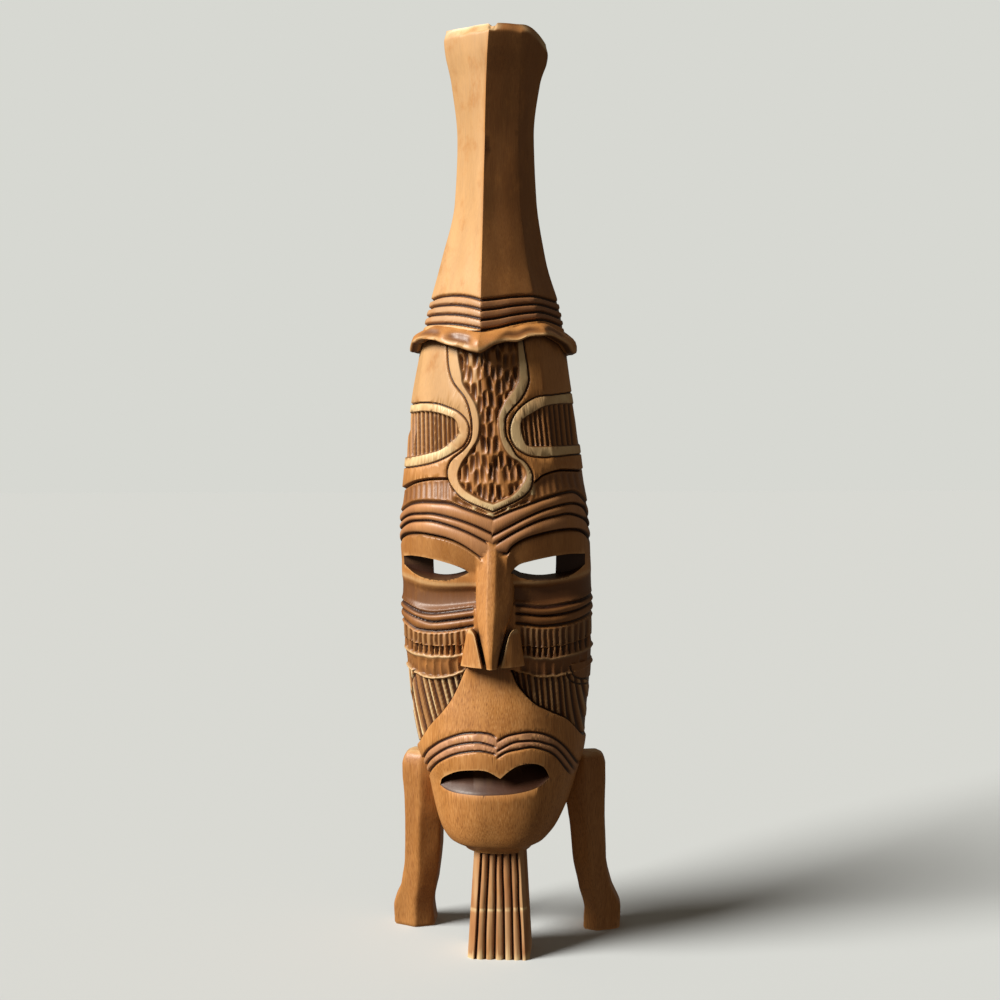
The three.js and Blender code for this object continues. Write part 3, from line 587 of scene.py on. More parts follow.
# %% [markdown]
# Between the ovals and the brow the wood steps down along a line, and the lower part is left
# with the faint upright marks of a flat gouge. Beside the hourglass's foot it is only hacked
# away in small chips, some of them fresh and pale.

# %% The step above the brow
STEPS = [
    {"line": STEP_LEFT, "brow": BROW_LEFT[0], "side": -1, "starts": (15.5, 17.5)},
    {"line": STEP_RIGHT, "brow": BROW_RIGHT[0], "side": 1, "starts": (15.0, 17.0)},
]
STEP_DEEP, STEP_RUNS_OUT, STEP_LINE, STEP_TOP_Z = 1.15, 10.5, (1.2, 1.2), 204
MARK_PITCH, MARK_DEEP = 2.5, 0.3
CHIP_PITCH, CHIP_HALF, CHIP_LEAN, CHIP_LOOSE, CHIP_DEEP = (4.9, 3.7), (2.8, 2.3), 0.3, 0.35, 1.1


def brow_step(relief):
    x, z = relief.x, relief.z
    frame_gap = -inside_by(FRAME_OUTER, x, z)
    for place in STEPS:
        side = place["side"]
        distance, _ = above(place["line"], x, z)
        to_brow, _ = above(place["brow"], x, z)
        here = ((x - MIDDLE_X) * side > 0) & (to_brow > 0.4) & (z < STEP_TOP_Z)
        outer_part = step(*place["starts"], x * side)
        zone = here * outer_part * step(0.3, -0.2, distance)
        relief.height -= zone * STEP_DEEP * step(STEP_RUNS_OUT, 0, -distance)
        relief.groove(distance, *STEP_LINE, here * outer_part)
        flute = np.abs(((x + 0.1 * z) / MARK_PITCH + 0.15 * jitter(np.floor(z / 40))) % 1 - 0.5) * 2
        marks = step(0.0, 1.0, flute) * step(0.3, 2.0, -distance) * step(0.6, 2.4, to_brow)
        relief.height -= zone * MARK_DEEP * marks
        relief.paint("stain", zone * (0.5 + 0.3 * marks))
        hacked = here * (1 - outer_part) * step(0.5, 1.2, frame_gap)
        hacked = hacked * step(0.6, 1.2, to_brow) * step(198, 196, z)
        slanting = x + 0.5 * z
        chips = gouges(slanting, z - 0.4 * side * x, CHIP_PITCH, CHIP_HALF, CHIP_LEAN, CHIP_LOOSE, 8)
        key = np.floor(slanting / CHIP_PITCH[0]) * 13 + np.floor(z / CHIP_PITCH[1])
        relief.height -= hacked * 0.3
        relief.cut = np.maximum(relief.cut, CHIP_DEEP * chips * hacked)
        relief.paint("stain", 0.6 * hacked)
        relief.paint("dark", 0.3 * step(0.6, 0.95, chips) * hacked)
        relief.paint("pale", 0.9 * step(0.6, 0.1, chips) * hacked * (jitter(key, 3) > -0.2))


# %% [markdown]
# The eyes lie in hollows under the brows. From the brow's edge down, the lid is sunk and
# domed, the slit cuts through it, a narrow ledge is left under the slit, and a dished band
# runs down to the first cheek roll. The hollow is deepest beside the nose and runs out
# towards the side of the face.

# %% Eye hollows
SLIT_LEFT = curve([(-46, 164), (-38, 163.6), (-33, 162.3), (-27, 161.4), (-20, 160.8), (-14, 160.6),
                   (-5, 160.4)])
SLIT_RIGHT = curve([(4, 160), (9, 161), (14, 161.1), (20, 161.4), (27, 162.2), (33, 163.4), (42, 165.6)])
EYES = [
    {"inner": -7.2, "outer": -42.3, "lid": BROW_LEFT[3], "slit": SLIT_LEFT, "cheek": CHEEK_LEFT[0]},
    {"inner": 6.4, "outer": 37.9, "lid": BROW_RIGHT[3], "slit": SLIT_RIGHT, "cheek": CHEEK_RIGHT[0]},
]
EYE_RECESS, RECESS_KEPT_OUTSIDE = 4.2, 0.28
# How deep a hollow is on the way down: 0 is the brow's edge, 1 the slit and 2 the cheek roll
HOLLOW_DOWN = [0, 0.3, 0.8, 1, 1.2, 1.35, 1.55, 1.8, 1.94, 2]
HOLLOW_DEEP = [0.3, 0.36, 0.52, 0.6, 0.56, 0.6, 0.95, 0.85, 0.35, 0.1]


def eye_hollows(relief):
    x, z = relief.x, relief.z
    for eye in EYES:
        share = (x - eye["inner"]) / (eye["outer"] - eye["inner"])
        lid, slit, cheek = (level(eye[name], x)[0] for name in ("lid", "slit", "cheek"))
        down = np.where(z > slit, (lid - z) / (lid - slit), 1 + (slit - z) / (slit - cheek))
        inside = step(-0.04, 0.0, down) * (down < 2) * (share > -0.08)
        across = step(-0.06, 0.04, share)
        fade = 1 - (1 - RECESS_KEPT_OUTSIDE) * step(0.55, 1.0, share)
        relief.height -= EYE_RECESS * smooth(HOLLOW_DOWN, HOLLOW_DEEP, down) * inside * across * fade
        under = step(1.3, 1.5, down) * inside * across
        relief.paint("stain", 0.8 * under)
        relief.paint("dark", 0.25 * under * step(1.3, 1.6, down))
        relief.paint("stain", 0.2 * inside * across * step(1.1, 0.9, down))
        relief.paint("pale", 0.35 * inside * across * np.exp(-((down - 1.33) / 0.05) ** 2))
        # Painted shadow: a dark band just under the brow's edge, where the lid lies in its shade.
        relief.paint("dark", 0.55 * inside * across * step(0.16, 0.0, down))


# %% [markdown]
# The cheeks carry three rows of chips: narrow strokes, short pointed ones and broad ones.
# A light ridge closes the pointed row and the broad row. Under them slanting strips run down
# to the muzzle: the ribs were scraped pale and the grooves left dark.

# %% Cheeks
CHEEKS = [
    {"side": -1, "inner": 10.6, "top": CHEEK_LEFT[2], "rows": ROW_LEFT, "muzzle": MUZZLE_LEFT,
     "strip_pitch": 2.75, "pale": 1.0, "ridge_pale": 0.5, "stain": 0.5},
    {"side": 1, "inner": 9.2, "top": CHEEK_RIGHT[2], "rows": ROW_RIGHT, "muzzle": MUZZLE_RIGHT,
     "strip_pitch": 2.3, "pale": 0.35, "ridge_pale": 0.25, "stain": 0.75},
]
MUZZLE_STEP, MUZZLE_LINE, MUZZLE_LINE_TOP_Z = 2.4, (1.2, 0.9), 122
CHEEK_WIDE = 27.0
NARROW_PITCH, NARROW_DEEP, POINTED_DEEP = 2.35, 1.0, 1.5
BROAD_PITCH, BROAD_DEEP = 3.3, 1.05
RIDGE_PROUD, RIDGE_HALF = 0.45, 0.5
STRIP_LEAN, STRIP_SUNK, STRIP_DEEP = 0.17, 0.35, 1.0


def strokes_between(relief, top, foot, pitch, width, narrowing, channel):
    """One row of strokes from a top line down to a foot line: their share and the way down."""
    x, z = relief.x, relief.z
    down = np.clip((top - z) / (top - foot), 0, 1)
    across = x / pitch + 0.06 * lumps(x, 0, z, (9, 1, 3), channel)
    column = np.floor(across)
    u = np.abs(across - column - 0.5 + 0.12 * jitter(column, channel))
    reach = width * (1 - narrowing * down)
    return np.clip(1 - (u / np.maximum(reach, 0.05)) ** 2.2, 0, 1), down, column


def chip_rows(relief, cheek, top, feet, on_cheek):
    """Narrow strokes, then pointed and then broad ones, with a light ridge below each row."""
    z = relief.z
    narrow = ((z < top) & (z > feet[0])) * on_cheek
    stroke, down, column = strokes_between(relief, top, feet[0], NARROW_PITCH, 0.32, 0.0, 6)
    run = step(0.0, 0.2, down) * (0.55 + 0.45 * down)
    relief.cut = np.maximum(relief.cut, NARROW_DEEP * stroke * run * narrow)
    relief.paint("dark", 0.62 * step(0.3, 0.9, stroke) * run * narrow)
    relief.paint("pale", 0.14 * step(0.3, 0.0, stroke) * narrow)

    pointed = ((z <= feet[0]) & (z > feet[1])) * on_cheek
    stroke, down, column = strokes_between(relief, feet[0], feet[1], NARROW_PITCH, 0.46, 0.55, 6)
    run = step(0.0, 0.12, down) * step(1.0, 0.72, down)
    uneven = 1 + 0.2 * jitter(column, 7)
    relief.cut = np.maximum(relief.cut, POINTED_DEEP * stroke * run * pointed * uneven)
    relief.paint("dark", 0.9 * step(0.3, 0.8, stroke) * run * pointed)

    broad = ((z <= feet[1]) & (z > feet[2])) * on_cheek
    stroke, down, column = strokes_between(relief, feet[1], feet[2], BROAD_PITCH, 0.49, 0.0, 9)
    run = step(0.05, 0.3, down) * step(1.0, 0.9, down) * (0.5 + 0.5 * down)
    uneven = 1 + 0.3 * jitter(column, 7)
    relief.cut = np.maximum(relief.cut, BROAD_DEEP * stroke * run * broad * uneven)
    relief.paint("dark", 0.45 * step(0.5, 0.9, stroke) * step(0.4, 0.9, down) * broad)

    for foot in feet[1:]:
        ridge = np.exp(-((z - foot) / RIDGE_HALF) ** 2) * on_cheek
        relief.height += RIDGE_PROUD * ridge
        relief.cut = relief.cut * (1 - ridge)
        relief.paint("pale", cheek["ridge_pale"] * ridge)
        relief.wipe(0.8 * ridge, ("dark",))


def slanting_strips(relief, cheek, strips, past):
    x, z = relief.x, relief.z
    across = (x + STRIP_LEAN * (z - 110)) / cheek["strip_pitch"]
    column = np.floor(across)
    u = np.abs(across - column - 0.5 + 0.08 * jitter(column, 8))
    share = np.clip(1 - u / 0.34, 0, 1)
    relief.height -= STRIP_SUNK * strips
    relief.cut = np.maximum(relief.cut, STRIP_DEEP * np.minimum(share / 0.5, 1) * strips)
    scraped = np.clip(0.62 + 0.9 * jitter(column, 12), 0.1, 1)
    scraped = scraped * (0.8 + 0.3 * lumps(x, 0, z, (3, 1, 7), 21))
    fringe = step(0.5, 0.1, past / 26) * 0.4
    relief.paint("stain", strips * (0.45 + 0.45 * step(0.05, 0.4, share) + fringe))
    relief.paint("dark", strips * 0.8 * step(0.15, 0.7, share))
    relief.paint("pale", strips * cheek["pale"] * scraped * step(0.15, 0.0, share) * step(2, 6, past))


def cheeks(relief):
    x, z = relief.x, relief.z
    for cheek in CHEEKS:
        side = cheek["side"]
        past = x * side - cheek["inner"]
        top = level(cheek["top"], x)[0] - 1.0
        feet = []
        for k, line in enumerate(cheek["rows"]):
            feet.append(level(line, x)[0] + 0.35 * lumps(x, 0, 0, (2.2, 1, 1), 40 + k))
        to_muzzle, _ = above(cheek["muzzle"], x, z)
        beside_nose = np.where(z < feet[2], 1.0, step(0, 1, past))
        on_cheek = step(-0.2, 0.3, to_muzzle) * beside_nose * (x * side > 3)
        share_out = np.clip(past / CHEEK_WIDE, 0, 1)
        near_muzzle = np.clip(1 - to_muzzle / (8 + 5 * share_out), 0, 1)
        set_back = MUZZLE_STEP * near_muzzle * (1 - 0.8 * step(0.6, 1, share_out))
        relief.height -= set_back * on_cheek * (to_muzzle > 0)
        relief.paint("stain", cheek["stain"] * ((z < top) & (z > feet[2])) * on_cheek)
        chip_rows(relief, cheek, top, feet, on_cheek)
        slanting_strips(relief, cheek, (z <= feet[2] - 0.5) * on_cheek, past)
        relief.groove(to_muzzle - 0.2, *MUZZLE_LINE, beside_nose * (z < MUZZLE_LINE_TOP_Z))


# %% [markdown]
# Where the right cheek meets the edge there is a small smooth scale with a double outline,
# and the left cheek ends in one curved line.

# %% Edge scales
SCALE_RIGHT = curve([(29.4, 124), (30.2, 119.6), (32.2, 116.6), (35.4, 114.9), (40, 114), (46, 113.8),
                     (46, 124)])
SCALE_LEFT = curve([(-35.4, 118.5), (-37.2, 113), (-37.9, 107), (-37.4, 101)])


def edge_scales(relief):
    inside = np.where(relief.z < 122.5, inside_by(SCALE_RIGHT, relief.x, relief.z), -99.0)
    relief.wipe(step(-0.1, 0.4, inside))
    relief.paint("stain", 0.6 * step(-0.1, 0.4, inside))
    relief.groove(inside, 1.1, 0.8, (relief.z < 121.6) * 1.0)
    relief.groove(inside + 2.1, 1.0, 0.8, (relief.z < 119) * 1.0)
    relief.groove(away(SCALE_LEFT, relief.x, relief.z), 1.1, 0.8)


def carve(x, z):
    """The whole relief over the front of the block, at points of the front view."""
    relief = Relief(np.asarray(x, float), np.asarray(z, float))
    cap_and_face_lines(relief)
    eye_hollows(relief)
    brow_step(relief)
    forehead(relief)
    cheeks(relief)
    edge_scales(relief)
    # Painted shadow: the forehead is darkened in a band up to 2.6 mm under the brim's lower lip.
    brim_shadow = step(BRIM_Z + 9, BRIM_Z + 6, relief.z) * step(2.6, 0.0, brim_low(relief.x) - relief.z)
    relief.paint("dark", 0.75 * brim_shadow)
    relief.paint("stain", 0.5 * brim_shadow)
    return relief


# %% [markdown]
# Meshes are made from rings here too. Two rings of equal length are joined by a band of
# triangles, and a fan of triangles closes each end. Blender then joins and cuts these closed
# solids with its boolean modifier, which keeps every crease sharp. Each solid also keeps a
# list of its points with their finish, so that the finished mesh can be coloured later.

# %% From rings to solids
CHANNELS = 5
PAINTED_POINTS, PAINTED_VALUES = [], []
BARE_FINISH = (0.0, 0.0, 0.0, 0.0, 0.5)


def mesh_object(name, vertices, faces):
    mesh = bpy.data.meshes.new(name)
    mesh.from_pydata(np.asarray(vertices, float).tolist(), [], faces)
    mesh.update()
    made = bpy.data.objects.new(name, mesh)
    bpy.context.scene.collection.objects.link(made)
    return made


def signed_volume(vertices, triangles):
    a, b, c = (vertices[triangles[:, k]] for k in range(3))
    return float(np.einsum("ij,ij->i", a, np.cross(b, c)).sum() / 6)


def loft(name, rings, finish=BARE_FINISH):
    """A closed solid from rings, an array of ring by point by xyz in millimetres.

    The finish has five values for each point: stain, pale, dark, blush and flecks.
    In places stain and dark also hold painted shade, and pale a painted highlight.
    """
    rings = np.asarray(rings, float)
    count, size = rings.shape[:2]
    vertices = rings.reshape(-1, 3)
    PAINTED_POINTS.append(vertices)
    PAINTED_VALUES.append(np.broadcast_to(finish, (count, size, CHANNELS)).reshape(-1, CHANNELS))
    grid = np.arange(count * size).reshape(count, size)
    a, b = grid[:-1], np.roll(grid, -1, axis=1)[:-1]
    c, d = np.roll(grid, -1, axis=1)[1:], grid[1:]
    quads = np.stack([a, b, c, d], -1).reshape(-1, 4)
    ends = np.stack([rings[0].mean(0), rings[-1].mean(0)])
    vertices = np.vstack([vertices, ends])
    first, last = count * size, count * size + 1
    low, high = grid[0], grid[-1]
    fans = np.vstack([
        np.column_stack([np.full(size, first), np.roll(low, -1), low]),
        np.column_stack([np.full(size, last), high, np.roll(high, -1)]),
    ])
    triangles = np.vstack([quads[:, [0, 1, 2]], quads[:, [0, 2, 3]], fans])
    if signed_volume(vertices, triangles) < 0:
        triangles = triangles[:, ::-1]
    return mesh_object(name, vertices, triangles.tolist())


def join(target, other, operation):
    """Joins two closed solids or cuts one with the other, and drops the second."""
    modifier = target.modifiers.new(operation.lower(), "BOOLEAN")
    modifier.operation = operation
    modifier.solver = "MANIFOLD"
    modifier.object = other
    graph = bpy.context.evaluated_depsgraph_get()
    mesh = bpy.data.meshes.new_from_object(target.evaluated_get(graph))
    target.modifiers.remove(modifier)
    old = target.data
    target.data = mesh
    bpy.data.meshes.remove(old)
    bpy.data.objects.remove(other)
    return target


# %% [markdown]
# The block's rings are dense where the carving is, a third of a millimetre, and coarse on
# the plain neck of the cap. Each ring runs from the back left corner round the front to the
# back right corner, and its front points are spread evenly along the curve. The cap and the
# forehead were left with flat knife facets instead of a round front.

# %% The block with its relief
FACET_Z = [180, 205, 249, 275, 381]
FACET_BLEND = [0.0, 0.4, 0.62, 0.85, 0.9]
CORNER_Z = [190, 249, 275, 340, 381]
CORNER_AT = {-1: [0.88, 0.9, 0.985, 0.99, 0.99], 1: [0.7, 0.69, 0.7, 0.69, 0.56]}
CORNER_WEAR, CORNER_WEAR_FROM_X, CORNER_WEAR_FROM_Z = 0.095, 12.0, 338.0
NICK_DEEP, NICK_X = 1.3, -0.4
SECTION_STEPS = 220


def spread(points, count):
    """Points spread evenly along each row's polyline; the rows are rows by points by xy."""
    lengths = np.hypot(*np.moveaxis(np.diff(points, axis=1), 2, 0))
    run = np.concatenate([np.zeros((len(points), 1)), np.cumsum(lengths, axis=1)], axis=1)
    wanted = np.linspace(0, 1, count)
    rows = []
    for along, row in zip(run, points):
        at = wanted * along[-1]
        rows.append(np.column_stack([np.interp(at, along, row[:, 0]), np.interp(at, along, row[:, 1])]))
    return np.array(rows)


def half_section(z, side, count):
    """The front curve from the ridge to one side, for every height."""
    angle = np.linspace(0, np.pi / 2, SECTION_STEPS)
    power = smooth(ROUNDNESS_Z, ROUNDNESS, z)[:, None]
    ridge = ridge_at(z)[:, None]
    reach = (left_at(z) if side < 0 else right_at(z))[:, None]
    across = np.sin(angle)[None] ** (2 / power)
    out = np.cos(angle)[None] ** (2 / power)
    facets = smooth(FACET_Z, FACET_BLEND, z)[:, None]
    corner = smooth(CORNER_Z, CORNER_AT[side], z)[:, None]
    height = (1 - corner ** power) ** (1 / power)
    before, after = 1 + (height - 1) * across / corner, height * (1 - across) / (1 - corner)
    flat = np.where(across < corner, before, after)
    out = out * (1 - facets) + flat * facets
    x = ridge + (reach - ridge) * across
    return spread(np.stack([x, -front_at(z)[:, None] * out], -1), count)


def rim_wear(x, y, z):
    """The right corner of the top is knocked off, and the rim is a little chipped."""
    near = np.clip((z - CORNER_WEAR_FROM_Z) / (BLOCK_TOP - CORNER_WEAR_FROM_Z), 0, None)
    knocked = near ** 2 * CORNER_WEAR * np.maximum(0, x - CORNER_WEAR_FROM_X) ** 2
    wander = step(366, 377, z) * step(382, 378, z) * 0.7 * lumps(x, y, 0, (5, 5, 5), 3)
    nick = NICK_DEEP * step(2.0, 0.6, np.abs(x - NICK_X)) * step(375, 381, z) * (y < -5)
    return z - knocked + wander - nick


def knife_marks(x, y, z):
    """Shallow facets and ripples that a knife and a rasp leave on plain wood."""
    broad = (0.18 + 0.12 * step(262, 270, z)) * lumps(x, y, z, (7, 7, 22))
    fine = 0.02 * lumps(x, y, z, (2.2, 2.2, 9), 5)
    return broad + fine


def block_finish(x, y, z, heights, relief):
    """The five finish values of each front point, from the relief and from where it lies."""
    flecks = 0.45 + 0.55 * step(122, 116, heights)
    rim = step(376.8, 378.2, heights) * np.clip(0.3 + 0.6 * lumps(x, y, 0, (5, 5, 5), 6), 0, 1)
    from_ridge = x - ridge_at(z)[:, None]
    # Painted highlight: the forehead left of the ridge, the side the window lights, is made paler, but not
    # in the cut hollows.
    lit_side_highlight = 0.3 * step(196, 226, heights) * step(0.5, -1.5, from_ridge)
    lit_side_highlight = lit_side_highlight * (1 - np.clip(4 * relief.cut, 0, 1).reshape(x.shape))
    # Painted shade: the cap right of the ridge, the side away from the window, is stained darker.
    painted_shade = 0.5 * step(262, 268, heights) * step(-0.5, 0.8, from_ridge)
    # Painted shadow: a patch under and beside the nose tip, where the nose's shadow falls, is stained
    # darker.
    nose_shadow = step(108, 122, heights) * step(128, 126, heights) * step(9, 6, np.abs(x + 1))
    painted_shade = painted_shade + 0.5 * nose_shadow
    # Painted shade: the face deep in the slots beside the nose tip is darkened.
    slot_shade = 0.85 * step(123, 125, heights) * step(139.5, 137, heights) * (np.abs(x + 1) < 8)
    pale = np.maximum(relief.pale, np.maximum(rim, lit_side_highlight).ravel() * (1 - relief.stain))
    dark = np.maximum(relief.dark, slot_shade.ravel())
    layers = [np.maximum(relief.stain, painted_shade.ravel()), pale, dark, relief.blush, flecks.ravel()]
    return np.column_stack(layers).reshape(x.shape + (CHANNELS,))


# The block is drawn in fine rows up to the cap, wide ones on it and close ones at its rim
CAP_STARTS_Z, RIM_STARTS_Z = 276, 370
FINE_ROW, QUICK_ROW, CAP_ROW, RIM_ROW = 0.33, 0.8, 1.2, 0.5
COLUMNS, QUICK_COLUMNS = 150, 64


def block():
    fine = FINE_ROW
    columns = COLUMNS
    z = np.concatenate([
        np.arange(BLOCK_BOTTOM, CAP_STARTS_Z, fine),
        np.arange(CAP_STARTS_Z, RIM_STARTS_Z, CAP_ROW),
        np.arange(RIM_STARTS_Z, BLOCK_TOP, RIM_ROW),
        [BLOCK_TOP],
    ])
    left = half_section(z, -1, columns)[:, ::-1]
    right = half_section(z, 1, columns)
    front = np.concatenate([left, right[:, 1:]], axis=1)
    x, y = front[..., 0], front[..., 1]
    heights = np.broadcast_to(z[:, None], x.shape)
    points = np.stack([x, y, heights], -1)
    normal = np.cross(np.gradient(points, axis=0), np.gradient(points, axis=1))
    normal /= np.linalg.norm(normal, axis=-1, keepdims=True)
    normal *= np.where(normal[..., 1:2] > 0, -1, 1)
    relief = carve(x.ravel(), heights.ravel())
    lift = (relief.height - relief.cut).reshape(x.shape) + knife_marks(x, y, heights)
    points = points + normal * lift[..., None]
    finish = block_finish(x, y, z, heights, relief)
    sides, side_finish = [], []
    depth = back_at(z)
    for edge, end in ((left_at(z), 0), (right_at(z), -1)):
        share = np.linspace(0, 1, 9)[1:]
        start = points[:, end]
        y_side = start[:, 1:2] + (depth[:, None] - start[:, 1:2]) * share
        fade = 1 - step(0, 0.45, share)
        taper = 1 - (1 - BACK_TAPER) * share ** 2
        x_side = edge[:, None] * taper + (start[:, 0:1] - edge[:, None]) * fade
        sides.append(np.stack([x_side, y_side, np.broadcast_to(z[:, None], x_side.shape)], -1))
        side_finish.append(finish[:, end][:, None] * fade[None, :, None])
    across = np.linspace(0, 1, 26)[1:-1]
    left_back, right_back = sides[0][:, -1], sides[1][:, -1]
    across = across[None, :, None]
    back = right_back[:, None] * (1 - across) + left_back[:, None] * across
    back[..., 1] += 0.25 * lumps(back[..., 0], 0, back[..., 2], (9, 9, 16), 7)
    rings = np.concatenate([points, sides[1], back, sides[0][:, ::-1]], axis=1)
    rings[..., 2] = rim_wear(rings[..., 0], rings[..., 1], rings[..., 2])
    plain = np.broadcast_to(BARE_FINISH, back.shape[:2] + (CHANNELS,))
    finish = np.concatenate([finish, side_finish[1], plain, side_finish[0][:, ::-1]], axis=1)
    return loft("block", rings, finish)


# %% [markdown]
# The brim is a roll around the head that the carver left standing when the cap and the
# forehead were cut back. Its lower lip rises in an arch on each side of the ridge, and
# shallow scoops with brown stain in them run along its face.

# %% The brim
BRIM_Z, BRIM_TALL = 249.0, 10.0
BRIM_LOW_LEFT = [[0, 248.6], [0.3, 251.3], [0.7, 254.6], [0.93, 253.4], [1, 250]]
BRIM_LOW_RIGHT = [[0, 248.6], [0.2, 251.9], [0.4, 253.3], [0.68, 255.8], [0.9, 253], [1, 248.6]]
BRIM_HIGH_LEFT = [[0, 257.2], [0.3, 259], [0.75, 260.4], [1, 259.2]]
BRIM_HIGH_RIGHT = [[0, 257.2], [0.4, 259.4], [0.75, 261.2], [1, 258.2]]
BRIM_PROFILE = [(-3, 0.2), (0.2, 0.02), (1.5, 0), (3.1, 0), (4.1, 0.05), (4.5, 0.15), (4.3, 0.34),
                (4.0, 0.52), (3.2, 0.66), (2.1, 0.78), (1.1, 0.88), (0.2, 0.96), (-1, 1.0), (-3, 1.03)]
BRIM_POINTS, QUICK_BRIM_POINTS = 130, 60
# Where each scoop of the brim lies, how wide it is and how deep
BRIM_SCOOPS = [(-24, 4.4, 2.3), (-12.6, 4.4, 2.5), (9.5, 7.0, 1.9), (21.5, 3.4, 1.6)]


def from_table(table, share):
    keys, values = np.array(table, float).T
    return smooth(keys, values, share)


def brim_low(x):
    """Height of the brim's lower lip over a point of the front view."""
    ridge, low, high = (float(at(np.array([BRIM_Z]))[0]) for at in (ridge_at, left_at, right_at))
    left = from_table(BRIM_LOW_LEFT, np.clip((x - ridge) / (low - ridge), 0, 1))
    right = from_table(BRIM_LOW_RIGHT, np.clip((x - ridge) / (high - ridge), 0, 1))
    return np.where(x < ridge, left, right)


def outline_ring(z, grow, count):
    """One ring of the bare block, made bigger all round, with each point's share across."""
    z = np.array([z])
    left = half_section(z, -1, count)[0][::-1]
    right = half_section(z, 1, count)[0][1:]
    front = np.vstack([left, right])
    ridge, low, high = ridge_at(z)[0], left_at(z)[0], right_at(z)[0]
    reach = np.where(front[:, 0] < ridge, low, high)
    share = (front[:, 0] - ridge) / (reach - ridge)
    depth = back_at(z)[0]
    t = np.linspace(0, 1, 12)[1:]
    right_side = np.column_stack([high * (1 - (1 - BACK_TAPER) * t ** 2), depth * t])
    left_side = np.column_stack([low * (1 - (1 - BACK_TAPER) * t ** 2), depth * t])[::-1]
    ends = np.linspace(0, 1, 40)[1:-1, None]
    back = right_side[-1] * (1 - ends) + left_side[0] * ends
    ring = np.vstack([front, right_side, back, left_side])
    middle = np.array([(low + high) / 2, 0])
    outward = ring - middle
    outward /= np.linalg.norm(outward, axis=1, keepdims=True)
    share = np.concatenate([share, np.ones(len(ring) - len(share))])
    return ring, outward * grow, share


def brim():
    rings, finish = [], []
    dense = BRIM_POINTS
    for proud, up in BRIM_PROFILE:
        ring, outward, share = outline_ring(BRIM_Z + BRIM_TALL * up, proud, dense)
        x = ring[:, 0]
        left = x < ridge_at(np.array([BRIM_Z]))[0]
        low = np.where(left, from_table(BRIM_LOW_LEFT, share), from_table(BRIM_LOW_RIGHT, share))
        high = np.where(left, from_table(BRIM_HIGH_LEFT, share), from_table(BRIM_HIGH_RIGHT, share))
        z = low + (high - low) * up + 0.45 * lumps(x, ring[:, 1], 0, (4, 4, 5), 2) * (proud > 0)
        scoop = sum(deep * np.exp(-((x - at) / wide) ** 4) for at, wide, deep in BRIM_SCOOPS)
        scoop = scoop * np.exp(-((up - 0.5) / 0.24) ** 2) * (ring[:, 1] < 0)
        hewn = 1 - scoop / 4.2 + 0.1 * lumps(x, ring[:, 1], 6 * up, (4, 4, 2), 9)
        ring = ring + outward * hewn[:, None] if proud > 0 else ring + outward
        rings.append(np.column_stack([ring, z]))
        # Painted shade: the flat underside of the brim is darkened.
        under = np.full(len(ring), 0.85 if up < 0.015 else 0.0)
        brown = np.clip(scoop * 0.5, 0, 0.9) + 0.1 * (up < 0.3)
        lip = np.full(len(ring), 0.35 * np.exp(-((up - 0.12) / 0.08) ** 2))
        finish.append(np.column_stack([brown, lip, under, 0 * lip, 0 * lip + 0.5]))
    return loft("brim", np.array(rings), np.array(finish))


# %% [markdown]
# The nose is a long wedge with a flat front. Near the tip two deep V cuts part the ridge
# from the wings, so the wings are small solids of their own beside a narrowing ridge.

# %% The nose
NOSE_Z = [123.6, 128, 138, 150, 163, 174]
NOSE_LEFT = [-3.1, -3.8, -6.3, -7.6, -7.6, -7.4]
NOSE_RIGHT = [1.0, 1.7, 4.2, 6.9, 6.6, 6]
NOSE_RIDGE = [-1.2, -1.3, -1.5, -1.3, -1, -1]
NOSE_OUT = [37.6, 38, 36.2, 34, 31.6, 29.4]
NOSE_ROOT_Y, NOSE_ROW, NOSE_USUAL_WIDTH = -18.0, 0.6, 14


def refine(corners, parts, rounds):
    """Splits each side of a ring of corners, then rounds the corners a little."""
    following = np.roll(corners, -1, axis=1)
    t = np.linspace(0, 1, parts, endpoint=False)[None, None, :, None]
    rings = (corners[:, :, None] * (1 - t) + following[:, :, None] * t).reshape(len(corners), -1, 3)
    for _ in range(rounds):
        rings = 0.5 * rings + 0.25 * (np.roll(rings, 1, axis=1) + np.roll(rings, -1, axis=1))
    return rings


def nose():
    z = np.arange(NOSE_Z[0], NOSE_Z[-1] + 2, NOSE_ROW)
    left, right = smooth(NOSE_Z, NOSE_LEFT, z), smooth(NOSE_Z, NOSE_RIGHT, z)
    ridge, out = smooth(NOSE_Z, NOSE_RIDGE, z), smooth(NOSE_Z, NOSE_OUT, z)
    out = out - 0.35 * np.maximum(0, z - NOSE_Z[-1])
    wide = (right - left) / NOSE_USUAL_WIDTH
    corners = np.stack([
        np.stack([left - 1.2, np.full_like(z, NOSE_ROOT_Y), z], -1),
        np.stack([left, -out + 4.4 * wide, z], -1),
        np.stack([ridge - 1.6 * wide, -out, z], -1),
        np.stack([ridge + 1.6 * wide, -out, z], -1),
        np.stack([right, -out + 5 * wide, z], -1),
        np.stack([right + 1.2, np.full_like(z, NOSE_ROOT_Y), z], -1),
    ], axis=1)
    rings = refine(corners, 9, 1)
    rings[..., 1] += 0.15 * lumps(rings[..., 0], 0, rings[..., 2], (3, 3, 9), 4)
    # Painted shade: the nose's sides more than 1.2 mm behind its front, below the slots' top, are darkened.
    slot_wall_shade = step(1.2, 3.5, rings[..., 1] + out[:, None]) * step(139, 136, rings[..., 2])
    finish = np.stack([0.5 * slot_wall_shade, 0 * slot_wall_shade, 0.7 * slot_wall_shade, 0 * slot_wall_shade, 0.8 + 0 * slot_wall_shade], -1)
    return loft("nose", rings, finish)


WINGS = [
    {"inner": (-4.7, -8.3), "outer": (-14.2, -11.4), "out": 35.6},
    {"inner": (2.2, 6.2), "outer": (11.6, 9.4), "out": 35.0},
]
WING_LOW_Z, WING_TOP_Z, WING_ROUND = 123.8, 138.6, 3.0


